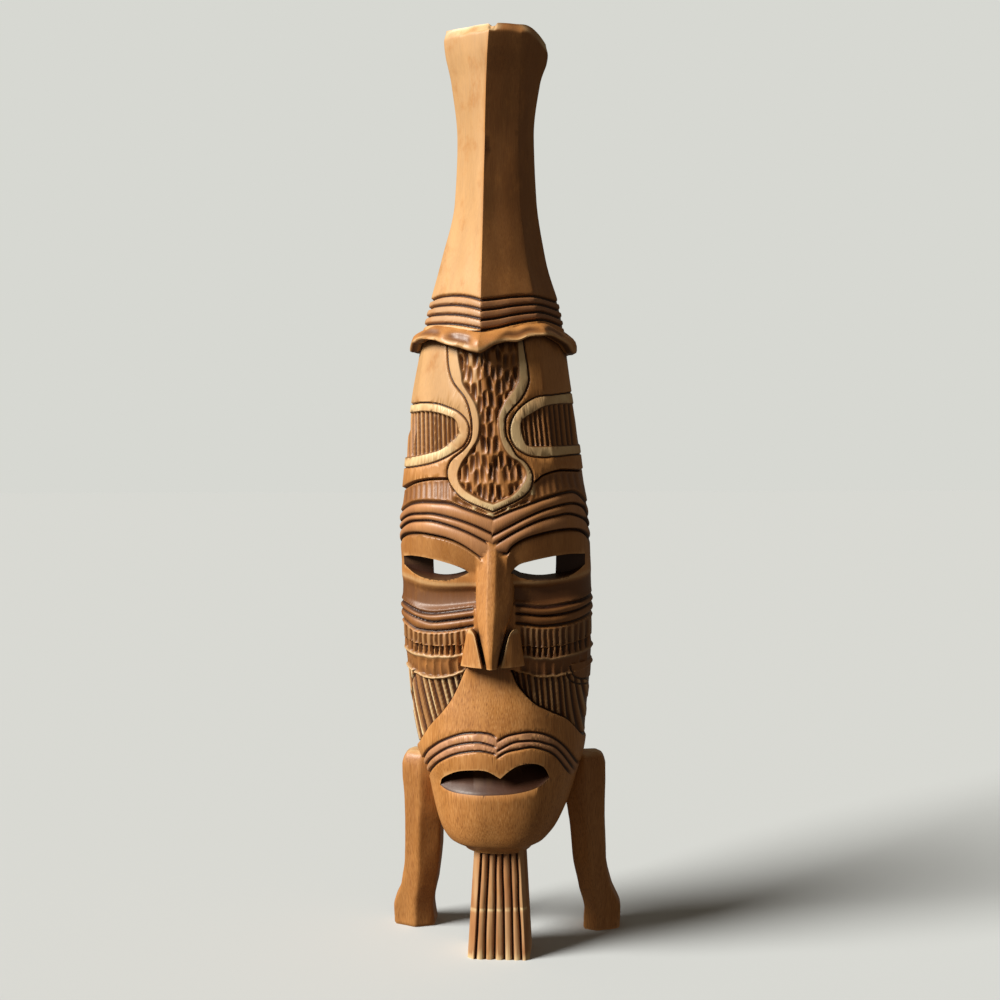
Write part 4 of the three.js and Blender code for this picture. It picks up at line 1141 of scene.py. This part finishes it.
def wing(spec):
    z = np.concatenate([np.linspace(WING_LOW_Z, 135, 16), np.linspace(135.6, WING_TOP_Z, 12)])
    s = (z - z[0]) / (z[-1] - z[0])
    over = np.maximum(0, z - WING_TOP_Z + WING_ROUND) / (WING_ROUND + 0.12)
    narrow = np.sqrt(np.clip(1 - over ** 2, 0, 1))

    def along(pair):
        return pair[0] + (pair[1] - pair[0]) * s

    inner, outer = along(spec["inner"]), along(spec["outer"])
    middle = (inner + outer) / 2
    inner, outer = middle + (inner - middle) * narrow, middle + (outer - middle) * narrow
    out = along((spec["out"], spec["out"] - 2.5)) - 0.8 * (1 - narrow)
    side = along((spec["out"] - 6, spec["out"] - 6.6)) - 0.5 * (1 - narrow)
    corners = np.stack([
        np.stack([inner, np.full_like(z, NOSE_ROOT_Y), z], -1),
        np.stack([inner, -out, z], -1),
        np.stack([inner * 0.55 + outer * 0.45, -out * 0.6 - side * 0.4 - 0.4, z], -1),
        np.stack([outer, -side, z], -1),
        np.stack([outer, np.full_like(z, NOSE_ROOT_Y), z], -1),
    ], axis=1)
    rings = refine(corners, 8, 1)
    # Painted shade: the wing's inner side, which walls the slot, is darkened from 0.8 mm behind its front.
    slot_wall_shade = step(0.8, 2.5, rings[..., 1] + out[:, None]) * (np.abs(rings[..., 0] - inner[:, None]) < 0.6)
    edge = step(0.9, 0.3, np.abs(rings[..., 0] - inner[:, None])) + step(136.5, 138, rings[..., 2])
    edge = 0.4 * np.clip(edge, 0, 1) * (1 - slot_wall_shade)
    return loft("wing", rings, np.stack([0.5 * slot_wall_shade, edge, 0.7 * slot_wall_shade, 0 * slot_wall_shade, 0.8 + 0 * slot_wall_shade], -1))


# %% [markdown]
# The rear legs are posts with flat knife-cut facets that splay towards the feet. The beard is
# the front leg: a board that widens downwards, with six narrow flutes cut from top to bottom
# and dry, pale ribs between them.

# %% Legs and beard
LEG_Z = [0, 8.5, 20, 32, 54, 74, 80]
LEG_OUTER = [49.3, 49.8, 45.8, 43.7, 43.2, 43.6, 42.4]
LEG_INNER = [31.6, 32, 30, 28.2, 26.6, 24, 24]
LEG_RIDGE = [39.6, 39.2, 38, 37, 36, 35.4, 35]
LEG_FRONT = [12.4, 11.5, 9, 6.5, 3.6, 2, 2.6]
LEG_BACK = [28, 27.4, 25, 22.6, 19.4, 17, 16.6]
LEG_TOP_Z, LEG_ROW, LEG_ROUND_AROUND = 80.0, 0.8, 60
LEG_SCOOP_PITCH, LEG_SCOOP_HALF, LEG_SCOOP_DEEP = (9.0, 17.0), (6.5, 13.0), 0.4
LEG_TOP_ROUND, LEG_TOP_WORN, FOOT_WORN = 3.0, 2.2, 0.5
RIGHT_FOOT_NARROWER, RIGHT_FOOT_NARROW_UP_TO_Z = 2.2, 66.0


def leg(side):
    z = np.concatenate([np.arange(0, LEG_TOP_Z, LEG_ROW), [LEG_TOP_Z]])
    outer, inner, ridge, front, back = (
        smooth(LEG_Z, values, z) for values in (LEG_OUTER, LEG_INNER, LEG_RIDGE, LEG_FRONT, LEG_BACK))
    if side > 0:
        inner = inner + RIGHT_FOOT_NARROWER * np.sqrt(np.maximum(0, 1 - z / RIGHT_FOOT_NARROW_UP_TO_Z))

    def point(x, y):
        return np.stack([side * x, y, z], -1)

    corners = np.stack([
        point(outer, front + 4.4),
        point(ridge, front),
        point(inner, front + 3),
        point(inner, back - 1),
        point(outer - 2, back),
        point(outer, back - 3),
    ], axis=1)
    rings = refine(corners, 10, 1)
    out = rings - rings.mean(axis=1, keepdims=True)
    out /= np.linalg.norm(out, axis=-1, keepdims=True)
    around = np.linspace(0, LEG_ROUND_AROUND, rings.shape[1], endpoint=False)[None] + 0 * z[:, None]
    scoops = gouges(around, rings[..., 2], LEG_SCOOP_PITCH, LEG_SCOOP_HALF, 0.0, 0.3, 20 + side)
    scoops = LEG_SCOOP_DEEP * scoops
    rounding = np.clip((rings[..., 2] - LEG_TOP_Z + LEG_TOP_ROUND) / LEG_TOP_ROUND, 0, 1)
    worn = FOOT_WORN * step(1.0, 0, rings[..., 2]) + LEG_TOP_WORN * (1 - np.sqrt(1 - rounding ** 2))
    uneven = 0.25 * lumps(rings[..., 0], rings[..., 1], rings[..., 2], (6, 6, 11), 12 + side)
    inward = uneven + scoops - 0.2 + worn
    rings[..., :2] -= (out * inward[..., None])[..., :2]
    top = step(LEG_TOP_Z - 1.4, LEG_TOP_Z, rings[..., 2])
    stain = 0.22 + 0.2 * step(0.3, 0.8, scoops)
    finish = np.stack([stain, 0.5 * top, 0 * top, 0 * top, 0 * top + 0.9], -1)
    return loft("leg", rings, finish)


BEARD_TOP, BEARD_TOP_HALF, BEARD_BOTTOM_HALF = 50.0, 10.0, 12.9
BEARD_FRONT, BEARD_BACK, BEARD_TOP_SET_BACK = -22.0, -3.0, 0.6
FLUTES_TOP = [-6.8, -3.9, -0.9, 1.5, 4.6, 7.2]
FLUTES_BOTTOM = [-10.0, -6.1, -2.1, 2.0, 5.6, 9.0]
FLUTE_HALF, FLUTE_DEPTH = 0.62, 1.35
BEARD_ROW, BEARD_COLUMNS = 0.8, 170
# How deep and how wide the bevels are at the left and right edges of the beard
BEVEL_LEFT, BEVEL_RIGHT = (2.4, 2.6), (1.6, 1.6)
SCRATCH_Z, SCRATCH_DEEP = 21, 0.2
PLAIN_BEARD = (0.3, 0.0, 0.0, 0.0, 0.8)


def beard():
    z = np.arange(0, BEARD_TOP + 0.1, BEARD_ROW)
    share = (z / BEARD_TOP)[:, None]
    half = BEARD_BOTTOM_HALF + (BEARD_TOP_HALF - BEARD_BOTTOM_HALF) * share
    u = np.linspace(-1, 1, BEARD_COLUMNS)[None]
    x = half * u - 0.5 * (1 - share)
    y = BEARD_FRONT + BEARD_TOP_SET_BACK * share + 0 * x
    aside = half * u
    y = y + BEVEL_LEFT[0] * np.clip((-aside - half + BEVEL_LEFT[1]) / BEVEL_LEFT[1], 0, 1)
    y = y + BEVEL_RIGHT[0] * np.clip((aside - half + BEVEL_RIGHT[1]) / BEVEL_RIGHT[1], 0, 1)
    cut, rib = np.zeros_like(x), np.full_like(x, 9.0)
    for top, bottom in zip(FLUTES_TOP, FLUTES_BOTTOM):
        wander = 0.18 * lumps(0 * z, 0, z, (1, 1, 12), int(top + 40))[:, None]
        middle = bottom + (top - bottom) * share + wander
        gap = np.abs(x - middle)
        cut = np.maximum(cut, np.minimum(1.4 * np.clip(1 - gap / FLUTE_HALF, 0, 1), 1))
        rib = np.minimum(rib, gap)
    y = y + FLUTE_DEPTH * cut + 0.35 * np.exp(-((rib - 0.4) / 0.7) ** 2)
    y = y + 0.08 * lumps(x, 0, z[:, None], (0.9, 2, 10), 6)
    scratch = np.exp(-((z[:, None] - SCRATCH_Z - 0.05 * x) / 0.5) ** 2)
    y = y + SCRATCH_DEEP * scratch
    heights = np.broadcast_to(z[:, None], x.shape)
    dry = 0.12 + 0.2 * lumps(x, 0, heights, (1.4, 1, 14), 9)
    dry = dry + 0.7 * step(2.2, 0.4, heights) + 0.8 * scratch
    layers = [0.25 + 0.3 * step(0.05, 0.5, cut), dry * step(0.2, 0.0, cut), 0.9 * step(0.4, 0.95, cut),
              0.6 * step(0.0, 0.4, cut) + 0.3, 0.7 + 0 * cut]
    finish = np.stack(layers, -1)
    front = np.stack([x, y, heights], -1)
    t = np.linspace(0, 1, 8)[1:, None]
    corners = [np.stack([x[:, end], np.full_like(z, BEARD_BACK), z], -1) for end in (-1, 0)]
    right = front[:, -1][:, None] * (1 - t)[None] + corners[0][:, None] * t[None]
    left = front[:, 0][:, None] * (1 - t)[None] + corners[1][:, None] * t[None]
    s = np.linspace(0, 1, 10)[1:-1, None]
    back = right[:, -1][:, None] * (1 - s)[None] + left[:, -1][:, None] * s[None]
    rings = np.concatenate([front, right, back, left[:, ::-1]], axis=1)
    plain = np.broadcast_to(PLAIN_BEARD, (len(z), rings.shape[1] - front.shape[1], CHANNELS))
    return loft("beard", rings, np.concatenate([finish, plain], axis=1))


# %% [markdown]
# Last come the cuts that go right through. The hollow follows the face from behind at a
# wall's distance, and a large gouge leaves shallow scoops in it. The eyes and the mouth are
# then opened from the front. Their lower edges rise towards the hollow as sloping ledges,
# and the insides are darkened with dark stain and with painted shade.

# %% The hollow, the eyes and the mouth
HOLLOW_BOTTOM, HOLLOW_TOP, WALL_FRONT, WALL_SIDE = 57.0, 222.0, 9.0, 6.3
SCOOP_PITCH, SCOOP_HALF, SCOOP_DEEP = (8.0, 19.0), (5.6, 13.5), 0.8
HOLLOW_MIDDLE_Y, HOLLOW_OUT_Y, HOLLOW_CLOSES_OVER = 6, 25, 16
# Painted shade with dark stain: the finishes inside the hollow and on the walls of the eyes and the mouth.
SHADED = (0.6, 0.0, 0.25, 0.0, 0.4)
EYES_INSIDE_STAIN_AND_SHADE = (0.9, 0.0, 0.84, 0.0, 0.3)
MOUTH_INSIDE_STAIN_AND_SHADE = (0.9, 0.0, 0.78, 0.0, 0.5)


def hollow():
    z = np.concatenate([
        np.linspace(HOLLOW_BOTTOM, 66, 10),
        np.arange(67.2, 212, 1.2),
        np.linspace(213, HOLLOW_TOP, 10),
    ])
    to_end = np.minimum(z - HOLLOW_BOTTOM + 1, HOLLOW_TOP - z + 1)
    closing = np.minimum(1, np.sqrt(to_end / HOLLOW_CLOSES_OVER))
    left = (left_at(z) * BACK_TAPER + WALL_SIDE) * closing
    right = (right_at(z) * BACK_TAPER - WALL_SIDE) * closing
    middle, half = ((left + right) / 2)[:, None], ((right - left) / 2)[:, None]
    deep = (front_at(z) - WALL_FRONT) * closing
    angle = np.linspace(0, np.pi, 80)
    x = middle - half * np.cos(angle)
    y = HOLLOW_MIDDLE_Y - (deep[:, None] + HOLLOW_MIDDLE_Y) * np.sin(angle) ** 0.8
    around = angle[None] / np.pi * 70 + 0 * x
    scoop = SCOOP_DEEP * gouges(around, z[:, None] + 0 * x, SCOOP_PITCH, SCOOP_HALF, 0.0, 0.25, 30) - 0.4
    facing = np.sin(angle)[None] ** 0.5
    x = x + (x - middle) / half * scoop * (0.8 - 0.3 * facing)
    y = y - scoop * facing
    arc = np.stack([x, y, np.broadcast_to(z[:, None], x.shape)], -1)
    start = np.stack([x[:, 0], np.full_like(z, HOLLOW_OUT_Y), z], -1)[:, None]
    end = np.stack([x[:, -1], np.full_like(z, HOLLOW_OUT_Y), z], -1)[:, None]
    return loft("hollow", np.concatenate([start, arc, end], axis=1), SHADED)


EYE_LEFT_CUT = curve([(-43.5, 163.6), (-39.6, 165.7), (-35, 166.6), (-28, 166.1), (-20.6, 164.6),
                      (-15, 162.8), (-11.2, 160.6), (-13.4, 159), (-17.3, 157.5), (-23, 156.5),
                      (-29, 156.9), (-34.5, 158.5), (-39, 160.9), (-43.5, 162.9)], 6)
EYE_RIGHT_CUT = curve([(6.2, 160.7), (9.4, 163.9), (13.9, 165.3), (19.4, 166.4), (25, 167.2),
                       (30, 167.5), (34.5, 166.9), (39, 165.6), (39, 164.4), (36, 161.4), (30, 158),
                       (23.5, 156.6), (15.8, 156.7), (9.6, 158.3)], 6)
MOUTH_CUT = np.vstack([
    curve([(-23.9, 72.8), (-22.8, 76), (-19.6, 78.6), (-15.5, 80.6), (-10.5, 81.6), (-6, 81.9),
           (-2.6, 81.2), (1.8, 78.6)], 6),
    curve([(1.8, 78.6), (4.6, 81.2), (8.4, 83.6), (12.6, 84.4), (16.4, 83.9), (19.4, 81.8),
           (21.3, 77.4)], 6)[1:],
    curve([(21.3, 77.4), (17.6, 74.6), (13, 73), (6.5, 72), (0, 71.5), (-8, 71.2), (-16, 71.1),
           (-21, 71.6), (-23.9, 72.8)], 6)[1:-1],
])
SLOT_START, SLOT_BACK, SLOT_FURTHEST_START = 8.0, -8.0, -14.0
EYE_LEDGE, MOUTH_LEDGE = 2.2, 10.6
CUT_WALLS = []


def slot(name, outline, ledge, finish):
    """A cut through the wall whose lower edge rises towards the hollow."""
    x, z = outline[:, 0], outline[:, 1]
    lowness = (z.max() - z) / (z.max() - z.min())
    near = front_y(x, z)
    outside = np.minimum(near - SLOT_START, SLOT_FURTHEST_START)
    wall = np.minimum(near + WALL_FRONT, SLOT_BACK - 1)
    before = -SLOT_START / WALL_FRONT
    rings = []
    for share in np.linspace(0, 1, 14):
        rise = ledge * lowness * max(0, before + (1 - before) * share)
        rings.append(np.column_stack([x, outside * (1 - share) + wall * share, z + rise]))
    rings.append(np.column_stack([x, np.full_like(x, SLOT_BACK), z + ledge * lowness]))
    made = loft(name, rings, finish)
    walls = [tuple(face.vertices) for face in made.data.polygons]
    CUT_WALLS.append((BVHTree.FromPolygons([v.co for v in made.data.vertices], walls), finish))
    return made


# %% [markdown]
# Now the carving is put together. Joining comes first and cutting last, as a cut has to go
# through everything that stands in its way. The dense mesh is then thinned where it is flat:
# the collapse modifier keeps triangles at creases and grooves and drops them on plain wood.

# %% The carving in one piece
TRIANGLE_LIMIT = 190000


def count_triangles(made):
    made.data.calc_loop_triangles()
    return len(made.data.loop_triangles)


def thin(made, limit):
    total = count_triangles(made)
    if total <= limit:
        return made
    modifier = made.modifiers.new("thin", "DECIMATE")
    modifier.ratio = limit / total
    graph = bpy.context.evaluated_depsgraph_get()
    mesh = bpy.data.meshes.new_from_object(made.evaluated_get(graph))
    made.modifiers.remove(modifier)
    made.data = mesh
    return made


def carving():
    made = block()
    made.name = "wooden_mask"
    for other in (brim(), nose(), wing(WINGS[0]), wing(WINGS[1]), leg(-1), leg(1), beard()):
        join(made, other, "UNION")
    cuts = [
        hollow(),
        slot("eye", EYE_LEFT_CUT, EYE_LEDGE, EYES_INSIDE_STAIN_AND_SHADE),
        slot("eye", EYE_RIGHT_CUT, EYE_LEDGE, EYES_INSIDE_STAIN_AND_SHADE),
        slot("mouth", MOUTH_CUT, MOUTH_LEDGE, MOUTH_INSIDE_STAIN_AND_SHADE),
    ]
    for other in cuts:
        join(made, other, "DIFFERENCE")
    print("triangles before thinning:", count_triangles(made))
    return thin(made, TRIANGLE_LIMIT)


mask = carving()
mask.data.name = "wooden_mask"
print("triangles:", count_triangles(mask))

# %% [markdown]
# Each corner of a face takes its finish from the nearest point of the solid that the face
# came from, and the walls of the eyes and the mouth take the finish of their own cut, which is
# dark stain with painted shade. Age is worked out from the shape itself: where the surface
# bends outwards the lacquer is rubbed thin and pale, and where it bends inwards it is darkened,
# as dirt that gathers there and as painted shade.

# %% Where each finish lies
INTO_FACE = 0.25
ON_WALL = 0.04
WORN_BEND, CREASE_DIRT_AND_SHADE_BEND = (0.09, 0.34), (0.06, 0.3)


def nearest_finish(points):
    sources, values = np.vstack(PAINTED_POINTS), np.vstack(PAINTED_VALUES)
    tree = KDTree(len(sources))
    for index, point in enumerate(sources.tolist()):
        tree.insert(point, index)
    tree.balance()
    return values[[tree.find(point)[1] for point in points.tolist()]]


def bend_of(made, points, rounds):
    """How much the surface bends outwards at each point, evened out over its neighbours."""
    count = len(points)
    normals = np.empty(count * 3)
    made.data.vertices.foreach_get("normal", normals)
    normals = normals.reshape(-1, 3)
    ends = np.empty(len(made.data.edges) * 2, int)
    made.data.edges.foreach_get("vertices", ends)
    a, b = ends.reshape(-1, 2).T
    run = points[b] - points[a]
    run /= np.maximum(np.linalg.norm(run, axis=1, keepdims=True), 1e-6)
    shares = np.bincount(a, minlength=count) + np.bincount(b, minlength=count)
    bend = np.bincount(a, -(normals[a] * run).sum(1), count)
    bend = bend + np.bincount(b, (normals[b] * run).sum(1), count)
    bend /= np.maximum(shares, 1)
    for _ in range(rounds):
        around = np.bincount(a, bend[b], count) + np.bincount(b, bend[a], count)
        bend = 0.5 * bend + 0.5 * around / np.maximum(shares, 1)
    return bend


def write_layers(made):
    """Writes both layers at every face corner, so that a crisp edge can part two finishes."""
    mesh = made.data
    points = np.empty(len(mesh.vertices) * 3)
    mesh.vertices.foreach_get("co", points)
    points = points.reshape(-1, 3)
    corners = np.empty(len(mesh.loops), int)
    mesh.loops.foreach_get("vertex_index", corners)
    centres, sizes = np.empty(len(mesh.polygons) * 3), np.empty(len(mesh.polygons), int)
    mesh.polygons.foreach_get("center", centres)
    mesh.polygons.foreach_get("loop_total", sizes)
    centres = centres.reshape(-1, 3)
    middles = np.repeat(centres, sizes, axis=0)
    found = nearest_finish(points[corners] * (1 - INTO_FACE) + middles * INTO_FACE)
    for walls, finish in CUT_WALLS:
        on_wall = [walls.find_nearest(centre, ON_WALL)[0] is not None for centre in centres.tolist()]
        found[np.repeat(on_wall, sizes)] = finish
    worn = step(*WORN_BEND, bend_of(made, points, 1))[corners]
    # Painted shade with dirt: the surface is darkened where it bends inwards.
    crease_dirt_and_shade = step(*CREASE_DIRT_AND_SHADE_BEND, -bend_of(made, points, 3))[corners]
    surface = np.column_stack([worn, crease_dirt_and_shade, found[:, 4], np.ones(len(worn))])
    for name, layers in (("finish", found[:, :4]), ("surface", surface)):
        attribute = mesh.color_attributes.new(name, "FLOAT_COLOR", "CORNER")
        attribute.data.foreach_set("color", layers.astype(np.float32).ravel())
    return found, surface


found, surface = write_layers(mask)
mask.data.transform(Matrix.Translation((0, FOOTPRINT_SHIFT_Y * MM, 0)) @ Matrix.Scale(MM, 4))
print("finish, mean:", found.mean(axis=0).round(3), "worn and dirty:", surface.mean(axis=0).round(3)[:2])

# %% [markdown]
# The wood is a pale, close-grained hardwood of the kind used for such carvings. It was
# stained honey brown and given a satin lacquer. The grain runs up the block, so every
# pattern is stretched along z. Colours are written as the eye sees them on a screen and
# turned to the linear values that a shader adds up.

# %% Helpers for materials
def linear(hex_colour):
    channels = [int(hex_colour[i:i + 2], 16) / 255 for i in (1, 3, 5)]
    return tuple([c / 12.92 if c <= 0.04045 else ((c + 0.055) / 1.055) ** 2.4 for c in channels] + [1.0])


def add(tree, kind, settings=None, links=None):
    """Adds one node; settings are its properties or input values, links its inputs' sources."""
    node = tree.nodes.new(kind)
    for key, value in (settings or {}).items():
        if isinstance(key, int) or key in node.inputs:
            node.inputs[key].default_value = value
        else:
            setattr(node, key, value)
    for key, source in (links or {}).items():
        tree.links.new(source, node.inputs[key])
    return node


# %% Lacquered hardwood
HONEY = "#c98d4e"
HONEY_DEEP = "#b67a3c"
FLECK = "#74431d"
RING = "#a56a35"
STAIN = "#6a3f20"
GROOVE = "#2b0c04"
BARE = "#efd6a4"
WORN = "#dfab6e"
WAX = "#c8977a"
FLECK_MM = (0.3, 0.3, 8.0)
GRAIN_MM = (1.1, 1.1, 18.0)
FIGURE_MM = (8.0, 8.0, 55.0)
BLOTCH_MM = (8, 8, 12)
RING_MM = 2.6
COAT, COAT_ROUGH = 0.15, 0.3
SMOOTHEST, ROUGHEST = 0.42, 0.56
PORE_DEEP = 0.00012
SHARP_FROM = 58


def lacquered_wood():
    material = bpy.data.materials.new("lacquered_hardwood")
    material.use_nodes = True
    tree = material.node_tree
    tree.nodes.clear()
    place = add(tree, "ShaderNodeTexCoord").outputs["Object"]

    def pattern(size_mm, detail, roughness):
        scale = [1 / (MM * s) for s in size_mm]
        mapped = add(tree, "ShaderNodeMapping", {"Scale": scale}, {"Vector": place}).outputs[0]
        return add(tree, "ShaderNodeTexNoise", {"Scale": 1.0, "Detail": detail, "Roughness": roughness},
                   {"Vector": mapped}).outputs[0]

    def ramp(source, low, high, top=1.0):
        return add(tree, "ShaderNodeMapRange", {1: low, 2: high, 4: top, "interpolation_type": "SMOOTHSTEP"},
                   {0: source}).outputs[0]

    def times(first, second):
        return add(tree, "ShaderNodeMath", {"operation": "MULTIPLY"}, {0: first, 1: second}).outputs[0]

    def over(colour, amount, hex_colour):
        settings = {"data_type": "RGBA", 7: linear(hex_colour)}
        return add(tree, "ShaderNodeMix", settings, {0: amount, 6: colour}).outputs[2]

    grain = pattern(GRAIN_MM, 4, 0.6)
    figure = pattern(FIGURE_MM, 3, 0.5)
    flecks = pattern(FLECK_MM, 2, 0.5)
    blotch = pattern(BLOTCH_MM, 4, 0.65)
    finish = add(tree, "ShaderNodeAttribute", {"attribute_name": "finish"})
    layers = add(tree, "ShaderNodeSeparateColor", {}, {0: finish.outputs["Color"]}).outputs
    age = add(tree, "ShaderNodeAttribute", {"attribute_name": "surface"})
    worn, crease_dirt_and_shade, flecked = add(tree, "ShaderNodeSeparateColor", {}, {0: age.outputs["Color"]}).outputs[:3]
    stain, pale, dark = layers[:3]
    blush = finish.outputs["Alpha"]
    waves = {"wave_type": "RINGS", "rings_direction": "Z", "Scale": 1 / (RING_MM * MM * 20)}
    waves.update({"Distortion": 5.0, "Detail": 3.0, "Detail Scale": 0.6})
    rings = add(tree, "ShaderNodeTexWave", waves, {"Vector": place})

    base = add(tree, "ShaderNodeRGB")
    base.outputs[0].default_value = linear(HONEY)
    colour = over(base.outputs[0], ramp(figure, 0.35, 0.7), HONEY_DEEP)
    colour = over(colour, ramp(rings.outputs["Fac"], 0.5, 1.0, 0.28), RING)
    colour = over(colour, ramp(grain, 0.5, 0.75, 0.4), RING)
    colour = over(colour, times(ramp(flecks, 0.5, 0.72, 0.6), flecked), FLECK)
    colour = over(colour, times(ramp(flecks, 0.46, 0.3, 0.45), flecked), WORN)
    colour = over(colour, times(blush, ramp(blotch, 0.1, 0.6)), WAX)
    # The stain layer also holds painted shade: the cap's right side, under the nose and under the brim.
    colour = over(colour, times(stain, ramp(blotch, 0.1, 0.5)), STAIN)
    colour = over(colour, times(ramp(worn, 0, 1, 0.8), ramp(blotch, 0.25, 0.6)), WORN)
    # The pale layer also holds a painted highlight on the lit left of the forehead.
    colour = over(colour, times(pale, ramp(blotch, 0.15, 0.5)), BARE)
    # Painted shade with dirt where the surface bends inwards.
    colour = over(colour, ramp(crease_dirt_and_shade, 0, 1, 0.6), STAIN)
    # The dark layer also holds painted shade: in the nose's slots, under the brim and the brow, and inside
    # the eyes and the mouth.
    colour = over(colour, dark, GROOVE)

    gloss = {1: 0.3, 2: 0.7, 3: SMOOTHEST, 4: ROUGHEST}
    rough = add(tree, "ShaderNodeMapRange", gloss, {0: grain}).outputs[0]
    pores = {"Strength": 0.35, "Distance": PORE_DEEP}
    bump = add(tree, "ShaderNodeBump", pores, {"Height": flecks}).outputs[0]
    lacquer = {"IOR": 1.5, "Coat Weight": COAT, "Coat Roughness": COAT_ROUGH}
    links = {"Base Color": colour, "Roughness": rough, "Normal": bump}
    shader = add(tree, "ShaderNodeBsdfPrincipled", lacquer, links)
    add(tree, "ShaderNodeOutputMaterial", {}, {"Surface": shader.outputs[0]})
    return material


wood = lacquered_wood()
mask.data.materials.clear()
mask.data.materials.append(wood)
for face in mask.data.polygons:
    face.use_smooth = True
mask.data.set_sharp_from_angle(angle=math.radians(SHARP_FROM))
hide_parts("carved_mask")
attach(mask, "root")
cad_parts["carved_mask"].data.materials.clear()
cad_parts["carved_mask"].data.materials.append(wood)
print("wood nodes:", len(wood.node_tree.nodes))

# %% [markdown]
# The light follows the photograph: daylight from a wide window to the left and a little in
# front, and only weak light from everywhere else, so that the right side of the mask falls
# into shade. The floor is plain, pale and dull, and sends no light up into the undersides,
# which are dark in the photograph.

# %% Floor and light
FLOOR = "#c9d0d4"
BACKDROP = "#d7d8d2"
DAYLIGHT, ROOM = "#fff8ee", "#f2dfc6"
FLOOR_HALF = 3.0
WINDOW_AZIMUTH, WINDOW_HEIGHT = -62.0, 37.0
WINDOW_WIDTH = 26.0
WINDOW_STRENGTH = 5.6
ROOM_STRENGTH = 0.125


def make_floor():
    half = FLOOR_HALF
    corners = [(-half, -half, 0), (half, -half, 0), (half, half, 0), (-half, half, 0)]
    floor = mesh_object("floor", corners, [(0, 1, 2, 3)])
    material = bpy.data.materials.new("pale_floor")
    material.use_nodes = True
    shader = material.node_tree.nodes["Principled BSDF"]
    shader.inputs["Base Color"].default_value = linear(FLOOR)
    shader.inputs["Roughness"].default_value = 1.0
    shader.inputs["Specular IOR Level"].default_value = 0.0
    floor.data.materials.append(material)
    floor.visible_diffuse = False
    floor.visible_glossy = False
    return floor


def make_window():
    data = bpy.data.lights.new("window", "SUN")
    data.energy = WINDOW_STRENGTH
    data.angle = math.radians(WINDOW_WIDTH)
    data.color = linear(DAYLIGHT)[:3]
    lamp = bpy.data.objects.new("window", data)
    azimuth, height = math.radians(WINDOW_AZIMUTH), math.radians(WINDOW_HEIGHT)
    level_share = math.cos(height)
    towards = Vector((
        math.sin(azimuth) * level_share,
        -math.cos(azimuth) * level_share,
        math.sin(height),
    ))
    lamp.rotation_euler = towards.to_track_quat("Z", "Y").to_euler()
    bpy.context.scene.collection.objects.link(lamp)
    return lamp


def make_room():
    world = bpy.data.worlds.new("room")
    bpy.context.scene.world = world
    world.use_nodes = True
    tree = world.node_tree
    tree.nodes.clear()
    seen = add(tree, "ShaderNodeBackground", {"Color": linear(BACKDROP), "Strength": 1.0})
    felt = add(tree, "ShaderNodeBackground", {"Color": linear(ROOM), "Strength": ROOM_STRENGTH})
    ray = add(tree, "ShaderNodeLightPath")
    links = {0: ray.outputs["Is Camera Ray"], 1: felt.outputs[0], 2: seen.outputs[0]}
    both = add(tree, "ShaderNodeMixShader", {}, links)
    add(tree, "ShaderNodeOutputWorld", {}, {"Surface": both.outputs[0]})
    return world


make_floor()
make_window()
make_room()
bpy.context.scene.view_settings.view_transform = "Standard"
